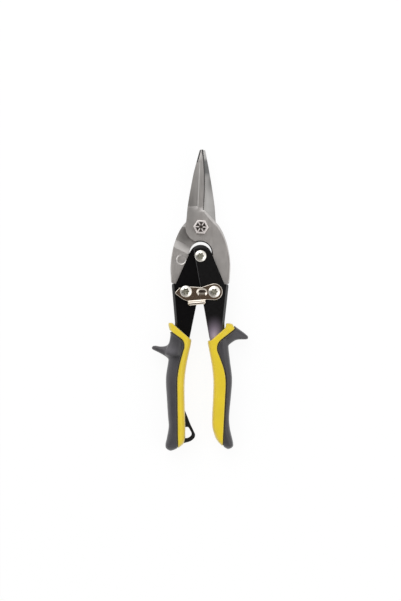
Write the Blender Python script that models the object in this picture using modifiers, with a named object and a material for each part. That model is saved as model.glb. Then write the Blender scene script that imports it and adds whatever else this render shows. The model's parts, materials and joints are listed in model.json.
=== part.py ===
"""Compound-leverage aviation snips, lying closed and latched on their back.

+Y runs to the jaw tips, +X to the right handle and +Z out of the front face. The origin is on the main
pivot's axis, on the surface that the snips lie on. Both blades are one forging, and both handle frames
one stamping: the second of each is the first turned half a turn about Y.
"""
import math

import bmesh
import bpy
from mathutils import Matrix, Vector

MM = 0.001

# Clearances
FIT_GAP = 0.3 * MM            # between pieces that touch
SHEAR_GAP = 0.2 * MM          # between the two blades' ground faces
LINK_PLAY = 0.2 * MM          # extra room round the main bolt, where the linkage closes

# Linkage: the main pivot joins the blades, the handle pivot the handles, each tail pivot a blade to a handle
HANDLE_PIVOT_DROP = 24.1 * MM     # main pivot to handle pivot
TAIL_PIVOT_DROP = 53.5 * MM       # main pivot to the tail pivots' level
TAIL_PIVOT_SPREAD = 23.4 * MM     # tail pivot to tail pivot

# Blades
BLADE_THICKNESS = 4.0 * MM
BOSS_RADIUS = 12.8 * MM           # round of the blade about the main pivot
JAW_LENGTH = 64.4 * MM            # main pivot to the jaw's tip
JAW_TIP_OUT = 2.0 * MM            # axis to the tip's outer corner
JAW_TIP_IN = 1.0 * MM             # axis to the tip's cutting corner, past the axis
JAW_TIP_SLOPE = 0.7 * MM          # how much lower the tip's outer corner is
JAW_BACK_BULGE = 0.95 * MM        # rise of the jaw's curved back over its chord
THROAT_HEIGHT = 14.8 * MM         # main pivot up to the throat
THROAT_OVERLAP = 2.2 * MM         # cutting edge past the axis at the throat
CUTTING_BULGE = 1.35 * MM         # rise of the curved cutting edge over its chord
TOOTH_COUNT = 30
TOOTH_DEPTH = 0.25 * MM
SHOULDER_OUT = 13.2 * MM          # end of the straight shoulder below the throat
SHOULDER_UP = 3.2 * MM
TAIL_OUT = 24.9 * MM              # axis to the tail's outer edge
TAIL_KNEE_DROP = 35.0 * MM        # where that edge becomes straight
TAIL_EDGE_PULL = 0.42             # fullness of the tail's curved edge, at the knee and at the shoulder
SHOULDER_PULL = 0.235
TAIL_FOOT_GAP = 2.5 * MM          # the tail's foot above the handle's web
TAIL_FOOT_ROUND = 1.6 * MM
TAIL_LOBE_RADIUS = 7.0 * MM       # round of the tail about its pivot
TAIL_LOBE_START = 175.0           # degrees
TAIL_LOBE_END = 370.0
NOTCH_RADIUS = 9.15 * MM          # round notch between the tails
NOTCH_RISE = 2.7 * MM             # the notch's centre above the handle pivot
NOTCH_END_ANGLE = -40.0           # degrees, where the notch runs into the tail's inner edge
RAMP_START = 18.5 * MM            # main pivot to the start of the tail's ramp, square to the ramp
RAMP_END = 24.8 * MM
RAMP_ANGLE = 25.5                 # degrees, slant of the ramp
RIM_CHAMFER = 0.7 * MM
FLANK_SLOPE = 0.20                # fall of the jaw's outer flank per unit of width
FLANK_RIDGE_ROOT = 2.7 * MM       # axis to the flank's ridge at its root
FLANK_RIDGE_TIP = 1.1 * MM
FLANK_ROOT_HEIGHT = 17.2 * MM
FLANK_STEP_RUN = 5.0 * MM         # run of the step between the flank and the pivot plate
NOSE_LENGTH = 11.0 * MM           # thinned nose of the jaw
NOSE_FALL = 1.4 * MM
FORGE_MARK_OUT = 16.0 * MM        # round forging mark on the tail
FORGE_MARK_DROP = 27.2 * MM
FORGE_MARK_RADIUS = 4.2 * MM
FORGE_MARK_DEPTH = 0.4 * MM

# Main bolt
BOLT_RADIUS = 3.4 * MM
BOLT_HEX_FLATS = 11.0 * MM
BOLT_HEX_TURN = -3.0              # degrees, turn of the hexagon's first corner
BOLT_HEAD_HEIGHT = 4.0 * MM
BOLT_HEAD_CHAMFER = 0.5 * MM
BOLT_POCKET_INNER = 2.5 * MM      # wedge pockets between six ribs
BOLT_POCKET_OUTER = 4.5 * MM
BOLT_POCKET_SPAN = 44.0           # degrees
BOLT_POCKET_DEPTH = 1.6 * MM
BOLT_EYE_RADIUS = 1.8 * MM
BOLT_EYE_DEPTH = 2.2 * MM
PIVOT_WASHER_RADIUS = 7.0 * MM
PIVOT_WASHER_THICKNESS = 1.2 * MM
PIVOT_WASHER_CONE = 0.35 * MM     # rise of the conical spring washer's inner edge
PIVOT_NUT_FLATS = 11.0 * MM
PIVOT_NUT_INSET = 0.4 * MM        # nut short of the bolt's end

# Handle frames, measured from the tail pivot: outwards from the axis, and up
SHEET = 1.5 * MM
EAR_RADIUS = 9.3 * MM             # round of the frame about the handle pivot
EAR_INNER = 4.7 * MM              # handle pivot to the frame's straight inner edge
FRAME_CORNER = Vector((11.85, 5.5)) * MM       # outer corner, beside the tail's foot
FRAME_CORNER_ROUND = 1.2 * MM
FRAME_WEB_TOP = 4.2 * MM          # the channel's web ends here, clear of the tail's foot
FRAME_WAIST_OUT = Vector((8.8, -26.0)) * MM    # outer edge at the grip's collar
FRAME_WAIST_IN = Vector((-3.7, -37.3)) * MM    # inner edge at the grip's collar
TANG_HIP = 75.0 * MM              # below the tail pivot: the bowed tang's widest reach
TANG_HIP_OUT = 11.2 * MM
TANG_END_INSET = 14.3 * MM        # tang's end inside the grip's heel
TANG_END_OUT = 10.4 * MM
TANG_WIDTH = 7.2 * MM
WEB_BEND = 2.0 * MM               # outer bend radius of the channel

# Pivot screws and the posts that they thread into
POST_RADIUS = 2.5 * MM
POST_BORE_RADIUS = 1.9 * MM
POST_BORE_DEPTH = 9.0 * MM
POST_FLANGE_THICKNESS = 2.2 * MM
SCREW_HEAD_RADIUS = 4.9 * MM
SCREW_HEAD_HEIGHT = 2.4 * MM
SCREW_HEAD_ROUND = 1.3 * MM       # round of the head's and the flange's outer edge
SCREW_HEAD_CROWN = 0.35 * MM      # rise of the head's domed top
SCREW_HEAD_BREAK = 0.25 * MM      # broken edge under the head
SCREW_SHANK_LENGTH = 7.0 * MM
SOCKET_RADIUS = 2.9 * MM          # six-lobed socket
SOCKET_LOBE_DEPTH = 0.8 * MM
SOCKET_DEPTH = 1.5 * MM
LATCH_NECK_RADIUS = 2.0 * MM      # neck of the left tail screw, caught by the latch
TAIL_WASHER_RADIUS = 6.5 * MM
SLEEVE_RADIUS = 3.9 * MM          # sleeve inside the return spring

# Return spring
SPRING_WIRE = 1.4 * MM
SPRING_SLEEVE_GAP = 0.45 * MM     # coil outside the sleeve
SPRING_COIL_GAP = 0.5 * MM        # between the coil's turns
SPRING_TURNS = 2.5
SPRING_POINTS_PER_TURN = 10
SPRING_LEG_DROP = 22.0 * MM       # handle pivot to the legs' ends
SPRING_LEG_LEAN = 0.75 * MM       # legs lean in by this much

# Latch, measured from the right tail pivot
LATCH_THICKNESS = 1.5 * MM
LATCH_LOBE_RADIUS = 6.9 * MM
LATCH_TOP = 4.1 * MM              # top edge above the pivots' line
LATCH_WAIST_TOP = 3.7 * MM
LATCH_FINGER_OUT = 9.6 * MM       # finger's point, past the caught neck
LATCH_FINGER_UP = 3.4 * MM        # finger's upper corner
LATCH_FINGER_LEAN = 5.0 * MM
LATCH_FINGER_DROP = 1.6 * MM      # finger's point below the pivots' line
LATCH_CHIN_DROP = 8.3 * MM        # lower edge below the caught neck
LATCH_CHIN_ROUND = 3.0 * MM
LATCH_ANKLE_RISE = 0.3 * MM       # lower edge's inner end above the lobe's foot
LATCH_POINT_ROUND = 1.5 * MM
LATCH_CORNER_ROUND = 0.6 * MM
LATCH_WAIST_SAG = 0.15 * MM       # hollow of the top edge beside the lobe
LATCH_LIP_INSET = 1.6 * MM        # bent thumb lip, along the lower edge from here inwards of the neck
LATCH_LIP_END = 7.2 * MM
LATCH_LIP_BEND = 0.9 * MM
LATCH_LIP_REACH = 3.4 * MM
LATCH_LIP_RISE = 2.9 * MM
LATCH_LIP_ROUND = 1.35 * MM
LATCH_DIMPLE_OUT = 10.1 * MM
LATCH_DIMPLE_DROP = 0.6 * MM
LATCH_DIMPLE_LENGTH = 8.6 * MM
LATCH_DIMPLE_WIDTH = 6.2 * MM
LATCH_DIMPLE_DEPTH = 0.8 * MM

# Grips, measured from the tail pivot: (down, outwards) along each edge, in millimetres
GRIP_HALF_THICKNESS = 10.4 * MM   # the snips lie on the grips' backs
GRIP_SQUARENESS = 3.0             # superellipse power of the grip's section
GRIP_SIDES = 20
GRIP_OUTER = ((20.0, 15.0), (28.0, 14.3), (32.0, 13.2), (37.0, 12.2), (46.0, 12.4), (58.0, 13.9),
              (72.0, 15.7), (88.0, 14.8), (104.0, 13.6))
GRIP_INNER = ((20.0, -5.6), (41.0, -5.0), (52.0, -2.9), (63.0, -0.9), (75.0, 0.2), (90.0, 0.0),
              (104.0, -0.5))
GRIP_SECTIONS = (20.0, 30.0, 38.0, 46.0, 54.0, 62.0, 72.0, 84.0, 96.0, 106.0, 113.0, 118.0, 122.0, 125.5,
                 128.0)
HEEL_SECTIONS = (1.2, 0.4, 0.0)   # last sections, up from the heel's end
HEEL_HALF_WIDTH = 0.6             # half width and share of the thickness left at the heel's end
HEEL_THICKNESS_SHARE = 0.06
RIGHT_HEEL_OUTER = ((113.0, 14.4), (122.0, 16.6), (127.3, 17.5), (129.4, 15.8), (130.3, 13.2))
RIGHT_HEEL_INNER = ((112.0, -0.2), (118.0, 1.4), (123.0, 3.7), (127.6, 8.2), (130.3, 12.8))
LEFT_HEEL_OUTER = ((112.0, 12.9), (122.0, 14.4), (128.5, 15.6), (131.2, 13.8), (132.3, 11.2))
LEFT_HEEL_INNER = ((113.0, -0.9), (121.0, -0.7), (126.0, 0.4), (129.8, 4.8), (132.3, 10.8))
# Collar's top edge, (down, outwards): raised outer end, its foot beside the frame, inner end of the slant
RIGHT_COLLAR = ((25.9, 10.2), (29.4, 9.9), (40.5, -2.4))
LEFT_COLLAR = ((26.2, 11.0), (28.0, 9.2), (39.5, -4.4))
# Colour border of the grips: down the band's lower edge, round the bend, out to the hip and to the heel
RIGHT_BAND = ((24.0, 15.0), (30.6, 17.2), (39.5, 6.0))
RIGHT_BEND = ((42.8, 2.2), (48.0, 1.9), (52.0, 4.3))
RIGHT_HIP = ((60.5, 7.5), (66.0, 10.4), (77.0, 10.4))
RIGHT_FOOT = (134.0, 8.2)
LEFT_BAND = ((27.5, 20.5), (39.7, 3.0))
LEFT_BEND = ((41.8, 0.2), (46.0, -0.1), (49.0, 1.4))
LEFT_HIP = ((57.0, 3.6), (66.0, 6.2), (76.0, 6.1))
LEFT_FOOT = (136.0, 4.7)
# Guards: (outwards, top edge down, bottom edge down, half thickness) at each section, in millimetres
RIGHT_GUARD = ((9.0, 26.0, 47.0, 9.2), (15.0, 26.3, 42.0, 8.8), (18.5, 29.0, 39.8, 7.8),
               (22.5, 31.7, 39.2, 6.4), (26.0, 34.3, 39.2, 4.8), (28.4, 36.8, 38.6, 2.2))
LEFT_GUARD = ((9.0, 40.0, 60.0, 9.2), (13.5, 43.6, 56.2, 8.8), (16.0, 45.3, 54.2, 7.8),
              (20.5, 45.9, 51.6, 6.2), (25.3, 45.2, 49.3, 4.6), (27.5, 46.2, 48.0, 2.2))

# Hang loop on the left grip, measured from the left tail pivot: (down, inwards), in millimetres
LOOP_THICKNESS = 3.0 * MM
LOOP_EDGE = 0.6 * MM              # chamfer round the loop
LOOP_ROOT = 1.6 * MM              # root's depth past the tail pivot's line, inside the grip
LOOP_OUTLINE = ((98.6, 0.2), (103.5, 2.4), (109.9, 5.0), (116.2, 8.1), (118.3, 9.0), (120.2, 8.9),
                (122.2, 7.7), (124.2, 4.9), (125.6, 0.2))
LOOP_HOLE = ((112.4, 0.9), (112.4, 3.0), (113.2, 3.9), (115.3, 5.1), (117.2, 6.0), (118.9, 5.9),
             (120.4, 4.7), (121.3, 3.0), (121.7, 0.9))

# Levels above the shear plane, worked out from the thicknesses
BLADE_FACE = SHEAR_GAP / 2 + BLADE_THICKNESS
INNER_WALL_LOW = BLADE_FACE + FIT_GAP
INNER_WALL_HIGH = INNER_WALL_LOW + SHEET
OUTER_WALL_LOW = INNER_WALL_HIGH + FIT_GAP
OUTER_WALL_HIGH = OUTER_WALL_LOW + SHEET
LATCH_LOW = OUTER_WALL_HIGH + FIT_GAP
LATCH_HIGH = LATCH_LOW + LATCH_THICKNESS

# Places worked out from the other sizes
REST_HEIGHT = GRIP_HALF_THICKNESS
TAIL_PIVOT_OUT = TAIL_PIVOT_SPREAD / 2
TAIL_FOOT_DROP = TAIL_PIVOT_DROP - FRAME_WEB_TOP - TAIL_FOOT_GAP
NOTCH_DROP = HANDLE_PIVOT_DROP - NOTCH_RISE
TANG_END = RIGHT_HEEL_OUTER[-1][0] * MM - TANG_END_INSET
HANDLE_PIVOT_IN_FRAME = Vector((-TAIL_PIVOT_OUT, TAIL_PIVOT_DROP - HANDLE_PIVOT_DROP))
POST_HOLE_RADIUS = POST_RADIUS + FIT_GAP
BORE_RADIUS = BOLT_RADIUS + FIT_GAP + LINK_PLAY
SPRING_MEAN_RADIUS = SLEEVE_RADIUS + SPRING_SLEEVE_GAP + SPRING_WIRE / 2
SPRING_PITCH = SPRING_WIRE + SPRING_COIL_GAP

HALF_TURN_ABOUT_Y = (0.0, math.pi, 0.0)
WELD = 0.00001
FAR = 300 * MM                    # past every piece
ROUND_PULL = 0.55                 # pull of a curve's handles that makes it nearly a circle
SHARP_ANGLE = math.radians(35)
FLAT_ANGLE = math.radians(0.5)


def make_collection(name):
    collection = bpy.data.collections.new(name)
    bpy.context.scene.collection.children.link(collection)
    return collection


def paint(obj, colour, roughness, metallic):
    """Give a piece its own Principled material."""
    material = bpy.data.materials.new(obj.name)
    material.use_nodes = True
    shader = material.node_tree.nodes["Principled BSDF"]
    shader.inputs["Base Color"].default_value = (*colour, 1.0)
    shader.inputs["Roughness"].default_value = roughness
    shader.inputs["Metallic"].default_value = metallic
    obj.data.materials.clear()
    obj.data.materials.append(material)


def arc(centre, radius, start, end, steps):
    """Points along an arc, in degrees, both ends included."""
    angles = (math.radians(start + (end - start) * i / steps) for i in range(steps + 1))
    return [Vector((centre[0] + radius * math.cos(a), centre[1] + radius * math.sin(a))) for a in angles]


def bulge(start, end, rise, steps):
    """A shallow arc from start to end that rises to the left of its chord, both ends included."""
    chord = end - start
    left = Vector((-chord.y, chord.x)).normalized()
    fractions = [i / steps for i in range(steps + 1)]
    return [start + chord * t + left * (rise * 4 * t * (1 - t)) for t in fractions]


def bezier(a, b, c, d, steps):
    """Points along a cubic Bezier curve, both ends included."""
    points = []
    for i in range(steps + 1):
        t = i / steps
        s = 1 - t
        points.append(a * s ** 3 + b * (3 * s * s * t) + c * (3 * s * t * t) + d * t ** 3)
    return points


def fillet(before, corner, after, radius, steps=3):
    """Points that round a corner, by a curve that leaves and meets the two edges at the radius from it."""
    start = corner + (before - corner).normalized() * radius
    end = corner + (after - corner).normalized() * radius
    return bezier(start, start.lerp(corner, ROUND_PULL), end.lerp(corner, ROUND_PULL), end, steps)


def shifted(path, distance):
    """An open path moved to its left by a distance."""
    moved = []
    for i, point in enumerate(path):
        along = path[min(i + 1, len(path) - 1)] - path[max(i - 1, 0)]
        moved.append(point + Vector((-along.y, along.x)).normalized() * distance)
    return moved


def smooth_value(points, at):
    """Height of a smooth curve through (place, height) points, by Catmull-Rom tangents."""
    places = [p[0] for p in points]
    i = max(0, min(len(points) - 2, sum(place <= at for place in places) - 1))
    (x0, y0), (x1, y1) = points[i], points[i + 1]
    span = x1 - x0
    t = (at - x0) / span
    tangents = []
    for j in (i, i + 1):
        low, high = points[max(j - 1, 0)], points[min(j + 1, len(points) - 1)]
        tangents.append((high[1] - low[1]) / (high[0] - low[0]) * span)
    return ((2 * t ** 3 - 3 * t * t + 1) * y0 + (t ** 3 - 2 * t * t + t) * tangents[0]
            + (3 * t * t - 2 * t ** 3) * y1 + (t ** 3 - t * t) * tangents[1])


def new_object(name, mesh, collection):
    obj = bpy.data.objects.new(name, mesh)
    collection.objects.link(obj)
    if collection is cutters:
        obj.hide_render = True
        obj.display_type = "WIRE"
    return obj


def evaluated_mesh(obj, name):
    """The object's mesh with its modifiers applied, doubles welded."""
    graph = bpy.context.evaluated_depsgraph_get()
    mesh = bpy.data.meshes.new_from_object(obj.evaluated_get(graph))
    mesh.name = name
    shape = bmesh.new()
    shape.from_mesh(mesh)
    bmesh.ops.remove_doubles(shape, verts=shape.verts, dist=WELD)
    bmesh.ops.dissolve_degenerate(shape, edges=shape.edges, dist=WELD)
    shape.to_mesh(mesh)
    shape.free()
    return mesh


def apply_modifiers(obj):
    mesh = evaluated_mesh(obj, obj.name)
    obj.modifiers.clear()
    obj.data = mesh
    return obj


def curve_object(name, points, cyclic):
    curve = bpy.data.curves.new(name, "CURVE")
    spline = curve.splines.new("POLY")
    spline.points.add(len(points) - 1)
    for target, point in zip(spline.points, points):
        target.co = (*point.to_3d(), 1.0)
    spline.use_cyclic_u = cyclic
    return new_object(name, curve, cutters)


def curve_to_mesh(guide, collection):
    """The curve's surface as a mesh object in the curve's place; the curve goes."""
    bpy.context.view_layer.update()
    place = guide.matrix_world.copy()
    name = guide.name
    mesh = evaluated_mesh(guide, name)
    bpy.data.objects.remove(guide)
    obj = new_object(name, mesh, collection)
    obj.matrix_world = place
    return obj


def plate(name, outline, low, high, collection):
    """A flat outline made a solid between two levels, with its levels in the mesh."""
    guide = curve_object(name, outline, cyclic=True)
    guide.data.dimensions = "2D"
    guide.data.fill_mode = "BOTH"
    guide.data.extrude = (high - low) / 2
    obj = curve_to_mesh(guide, collection)
    shape = bmesh.new()
    shape.from_mesh(obj.data)
    bmesh.ops.translate(shape, verts=shape.verts, vec=(0, 0, (low + high) / 2))
    bmesh.ops.dissolve_limit(shape, angle_limit=FLAT_ANGLE, verts=shape.verts, edges=shape.edges)
    bmesh.ops.recalc_face_normals(shape, faces=shape.faces)
    shape.to_mesh(obj.data)
    shape.free()
    return obj


def turned(name, profile, collection, segments=24):
    """A profile of (radius, level) points, down its outer side, turned about Z."""
    mesh = bpy.data.meshes.new(name)
    verts = [(radius, 0, level) for radius, level in profile]
    mesh.from_pydata(verts, [(i, i + 1) for i in range(len(verts) - 1)], [])
    obj = new_object(name, mesh, collection)
    screw = obj.modifiers.new("Turn", "SCREW")
    screw.steps = screw.render_steps = segments
    screw.use_merge_vertices = True
    screw.merge_threshold = WELD
    return apply_modifiers(obj)


def cylinder(name, centre, radius, low, high, collection, segments=24):
    shape = bmesh.new()
    place = Matrix.Translation((centre[0], centre[1], (low + high) / 2))
    bmesh.ops.create_cone(shape, cap_ends=True, segments=segments, radius1=radius, radius2=radius,
                          depth=high - low, matrix=place)
    mesh = bpy.data.meshes.new(name)
    shape.to_mesh(mesh)
    shape.free()
    return new_object(name, mesh, collection)


def wedge_block(name, lower, upper, collection):
    """A cube whose eight corners are moved: four lower corners in turn, then the four above them."""
    shape = bmesh.new()
    bmesh.ops.create_cube(shape, size=2.0)
    turn = [(-1, -1), (1, -1), (1, 1), (-1, 1)]
    for vert in shape.verts:
        corners = lower if vert.co.z < 0 else upper
        vert.co = corners[turn.index((round(vert.co.x), round(vert.co.y)))]
    bmesh.ops.recalc_face_normals(shape, faces=shape.faces)
    mesh = bpy.data.meshes.new(name)
    shape.to_mesh(mesh)
    shape.free()
    return new_object(name, mesh, collection)


def loft(name, rings, collection):
    """A closed skin through rings of as many points each, capped at both ends."""
    shape = bmesh.new()
    rows = [[shape.verts.new(point) for point in ring] for ring in rings]
    count = len(rows[0])
    for low, high in zip(rows, rows[1:]):
        for i in range(count):
            j = (i + 1) % count
            shape.faces.new((low[i], low[j], high[j], high[i]))
    shape.faces.new(rows[0])
    shape.faces.new(rows[-1])
    bmesh.ops.recalc_face_normals(shape, faces=shape.faces)
    mesh = bpy.data.meshes.new(name)
    shape.to_mesh(mesh)
    shape.free()
    return new_object(name, mesh, collection)


def combine(target, operation, *others):
    """Boolean the target with each other object in turn."""
    for other in others:
        step = target.modifiers.new(other.name, "BOOLEAN")
        step.operation = operation
        step.object = other
    return apply_modifiers(target)


def cut(target, *others):
    return combine(target, "DIFFERENCE", *others)


def bevel_edges(obj, width, segments, chosen):
    """Bevel the edges that the test picks."""
    shape = bmesh.new()
    shape.from_mesh(obj.data)
    edges = [edge for edge in shape.edges if chosen(edge)]
    bmesh.ops.bevel(shape, geom=edges, offset=width, offset_type="OFFSET", segments=segments, profile=0.5,
                    affect="EDGES", clamp_overlap=True)
    shape.to_mesh(obj.data)
    shape.free()


def at_level(edge, level):
    return all(abs(vert.co.z - level) < WELD for vert in edge.verts)


def smooth_shading(obj):
    obj.data.shade_smooth()
    obj.data.set_sharp_from_angle(angle=SHARP_ANGLE)


def place(obj, parent, offset=(0, 0, 0), rotation=(0, 0, 0)):
    obj.parent = parent
    obj.location = offset
    obj.rotation_euler = rotation
    smooth_shading(obj)
    return obj


def copy_of(obj, name):
    """A second piece of the same shape, with its own mesh."""
    return new_object(name, obj.data.copy(), parts)


def blade_outline():
    """The front blade from above: jaw on the left of the axis, tail on the right."""
    throat = Vector((THROAT_OVERLAP, THROAT_HEIGHT))
    tip_in = Vector((JAW_TIP_IN, JAW_LENGTH))
    tip_out = Vector((-JAW_TIP_OUT, JAW_LENGTH - JAW_TIP_SLOPE))
    edge = bulge(throat, tip_in, -CUTTING_BULGE, 2 * TOOTH_COUNT)
    inward = Vector((TOOTH_DEPTH, 0))
    teeth = [p - inward if i % 2 and i < 2 * TOOTH_COUNT - 1 else p for i, p in enumerate(edge)]

    # The boss runs round to the notch; both are circles, and this is where they cross on the left
    notch = Vector((0, -NOTCH_DROP))
    cross_y = (NOTCH_RADIUS ** 2 - BOSS_RADIUS ** 2 - NOTCH_DROP ** 2) / (2 * NOTCH_DROP)
    cross_x = -math.sqrt(max(BOSS_RADIUS ** 2 - cross_y ** 2, 0.0))
    boss_end = math.degrees(math.atan2(cross_y, cross_x)) % 360
    notch_start = math.degrees(math.atan2(cross_y + NOTCH_DROP, cross_x))
    back = bulge(tip_out, Vector((-BOSS_RADIUS, 0)), -JAW_BACK_BULGE, 10)
    boss = arc((0, 0), BOSS_RADIUS, 180, boss_end, 12)
    notch_arc = arc(notch, NOTCH_RADIUS, notch_start, NOTCH_END_ANGLE, 16)

    pivot = Vector((TAIL_PIVOT_OUT, -TAIL_PIVOT_DROP))
    lobe = arc(pivot, TAIL_LOBE_RADIUS, TAIL_LOBE_START, TAIL_LOBE_END, 18)
    heel = Vector((TAIL_PIVOT_OUT + TAIL_LOBE_RADIUS, -TAIL_FOOT_DROP - TAIL_FOOT_ROUND / 2))
    foot = Vector((TAIL_OUT - TAIL_FOOT_ROUND / 2, -TAIL_FOOT_DROP))
    knee = Vector((TAIL_OUT, -TAIL_KNEE_DROP))
    shoulder = Vector((SHOULDER_OUT, SHOULDER_UP))
    slope = (shoulder - throat).normalized()
    tail_length = TAIL_KNEE_DROP + SHOULDER_UP
    knee_pull = knee + Vector((0, TAIL_EDGE_PULL * tail_length))
    tail = bezier(knee, knee_pull, shoulder + slope * (SHOULDER_PULL * tail_length), shoulder, 12)
    tail_foot = [heel] + fillet(heel, foot, knee, TAIL_FOOT_ROUND)
    return teeth + back[:-1] + boss + notch_arc[1:] + lobe + tail_foot + tail


def blade_undercut():
    """The space under the jaw and the pivot plate, ending in the tail's slanted ramp."""
    low, high = -BLADE_FACE, SHEAR_GAP / 2
    rise = (RAMP_END - RAMP_START) / (high - low)
    levels = (low - FIT_GAP, high)
    quads = []
    for level in levels:
        ramp = RAMP_START + (high - level) * rise
        quads.append([(-FAR, -ramp, level), (FAR, -ramp, level), (FAR, FAR, level), (-FAR, FAR, level)])
    block = wedge_block("blade_undercut", quads[0], quads[1], cutters)
    block.rotation_euler.z = math.radians(RAMP_ANGLE)
    return block


def flank_cut():
    """The wedge taken off the jaw's outer flank, with a sloped step at its root."""
    top = JAW_LENGTH + FLANK_STEP_RUN
    ridge_root = Vector((-FLANK_RIDGE_ROOT, FLANK_ROOT_HEIGHT))
    ridge_tip = Vector((-FLANK_RIDGE_TIP, top))
    reach = 2 * BOSS_RADIUS
    fall = reach * FLANK_SLOPE
    face, above = BLADE_FACE, BLADE_FACE + FLANK_STEP_RUN
    run = FLANK_STEP_RUN / fall * (above - face + fall)
    lower = [(ridge_root.x - reach, ridge_root.y, face - fall), (*ridge_root, face), (*ridge_tip, face),
             (ridge_tip.x - reach, top, face - fall)]
    upper = [(ridge_root.x - reach, ridge_root.y - run, above), (ridge_root.x, ridge_root.y - run, above),
             (*ridge_tip, above), (ridge_tip.x - reach, top, above)]
    return wedge_block("flank_cut", lower, upper, cutters)


def nose_cut():
    """The sloped slice that thins the jaw's nose."""
    root, tip = JAW_LENGTH - NOSE_LENGTH, JAW_LENGTH + NOSE_LENGTH
    face, above = BLADE_FACE, BLADE_FACE + NOSE_LENGTH
    fall = NOSE_FALL * (tip - root) / NOSE_LENGTH
    lower = [(-FAR, root, face), (FAR, root, face), (FAR, tip, face - fall), (-FAR, tip, face - fall)]
    upper = [(-FAR, root, above), (FAR, root, above), (FAR, tip, above), (-FAR, tip, above)]
    return wedge_block("nose_cut", lower, upper, cutters)


def build_blades(front_axis, rear_axis):
    blade = plate("front_blade", blade_outline(), -BLADE_FACE, BLADE_FACE, parts)
    cutting_reach = THROAT_OVERLAP + CUTTING_BULGE + JAW_TIP_IN

    def outer_rim(edge):
        middle = (edge.verts[0].co + edge.verts[1].co) / 2
        on_cutting_edge = middle.y > THROAT_HEIGHT and abs(middle.x) < cutting_reach
        return (at_level(edge, BLADE_FACE) or at_level(edge, -BLADE_FACE)) and not on_cutting_edge

    bevel_edges(blade, RIM_CHAMFER, 1, outer_rim)
    pivot = (TAIL_PIVOT_OUT, -TAIL_PIVOT_DROP)
    mark = (FORGE_MARK_OUT, -FORGE_MARK_DROP)
    low = -BLADE_FACE - FIT_GAP
    cut(blade, blade_undercut(), flank_cut(), nose_cut(),
        cylinder("main_bore", (0, 0), BORE_RADIUS, -FAR, FAR, cutters),
        cylinder("tail_bore", pivot, POST_HOLE_RADIUS, -FAR, FAR, cutters),
        cylinder("forge_mark", mark, FORGE_MARK_RADIUS, low, -BLADE_FACE + FORGE_MARK_DEPTH, cutters))
    rear = copy_of(blade, "rear_blade")
    place(blade, front_axis, (-TAIL_PIVOT_OUT, TAIL_PIVOT_DROP, 0))
    place(rear, rear_axis, (TAIL_PIVOT_OUT, TAIL_PIVOT_DROP, 0), HALF_TURN_ABOUT_Y)
    for piece in (blade, rear):
        paint(piece, (0.28, 0.265, 0.25), 0.38, 1.0)


def hexagon(flats, turn):
    radius = flats / 2 / math.cos(math.radians(30))
    return arc((0, 0), radius, turn, turn + 300, 5)


def build_main_bolt(axis):
    offset = (-TAIL_PIVOT_OUT, TAIL_PIVOT_DROP, 0)
    seat = BLADE_FACE + FIT_GAP
    top = seat + BOLT_HEAD_HEIGHT
    head = plate("pivot_bolt", hexagon(BOLT_HEX_FLATS, BOLT_HEX_TURN), seat, top, parts)
    bevel_edges(head, BOLT_HEAD_CHAMFER, 2, lambda edge: at_level(edge, top))
    shank = cylinder("bolt_shank", (0, 0), BOLT_RADIUS, -REST_HEIGHT, seat + BOLT_EYE_RADIUS, cutters)
    pockets = []
    for i in range(6):
        middle = BOLT_HEX_TURN + 30 + 60 * i
        half = BOLT_POCKET_SPAN / 2
        outline = (arc((0, 0), BOLT_POCKET_OUTER, middle - half, middle + half, 4)
                   + arc((0, 0), BOLT_POCKET_INNER, middle + half, middle - half, 2))
        pockets.append(plate(f"bolt_pocket_{i}", outline, top - BOLT_POCKET_DEPTH, top + FIT_GAP, cutters))
    eye = cylinder("bolt_eye", (0, 0), BOLT_EYE_RADIUS, top - BOLT_EYE_DEPTH, top + FIT_GAP, cutters, 18)
    combine(head, "UNION", shank)
    cut(head, eye, *pockets)
    place(head, axis, offset)
    paint(head, (0.55, 0.54, 0.52), 0.3, 1.0)

    washer_high = -BLADE_FACE - FIT_GAP
    washer_low = washer_high - PIVOT_WASHER_THICKNESS
    hole = BOLT_RADIUS + FIT_GAP
    washer = turned("pivot_spring_washer", [
        (hole, washer_low), (hole, washer_high - PIVOT_WASHER_CONE), (PIVOT_WASHER_RADIUS, washer_high),
        (PIVOT_WASHER_RADIUS, washer_low + PIVOT_WASHER_CONE), (hole, washer_low)], parts)
    place(washer, axis, offset)
    paint(washer, (0.4, 0.39, 0.38), 0.4, 1.0)

    nut_high = washer_low - FIT_GAP
    nut_low = PIVOT_NUT_INSET - REST_HEIGHT
    nut = plate("pivot_nut", hexagon(PIVOT_NUT_FLATS, BOLT_HEX_TURN), nut_low, nut_high, parts)
    bevel_edges(nut, BOLT_HEAD_CHAMFER, 2, lambda edge: at_level(edge, nut_low))
    cut(nut, cylinder("nut_bore", (0, 0), hole, -FAR, FAR, cutters))
    place(nut, axis, offset)
    paint(nut, (0.5, 0.49, 0.47), 0.35, 1.0)


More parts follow.
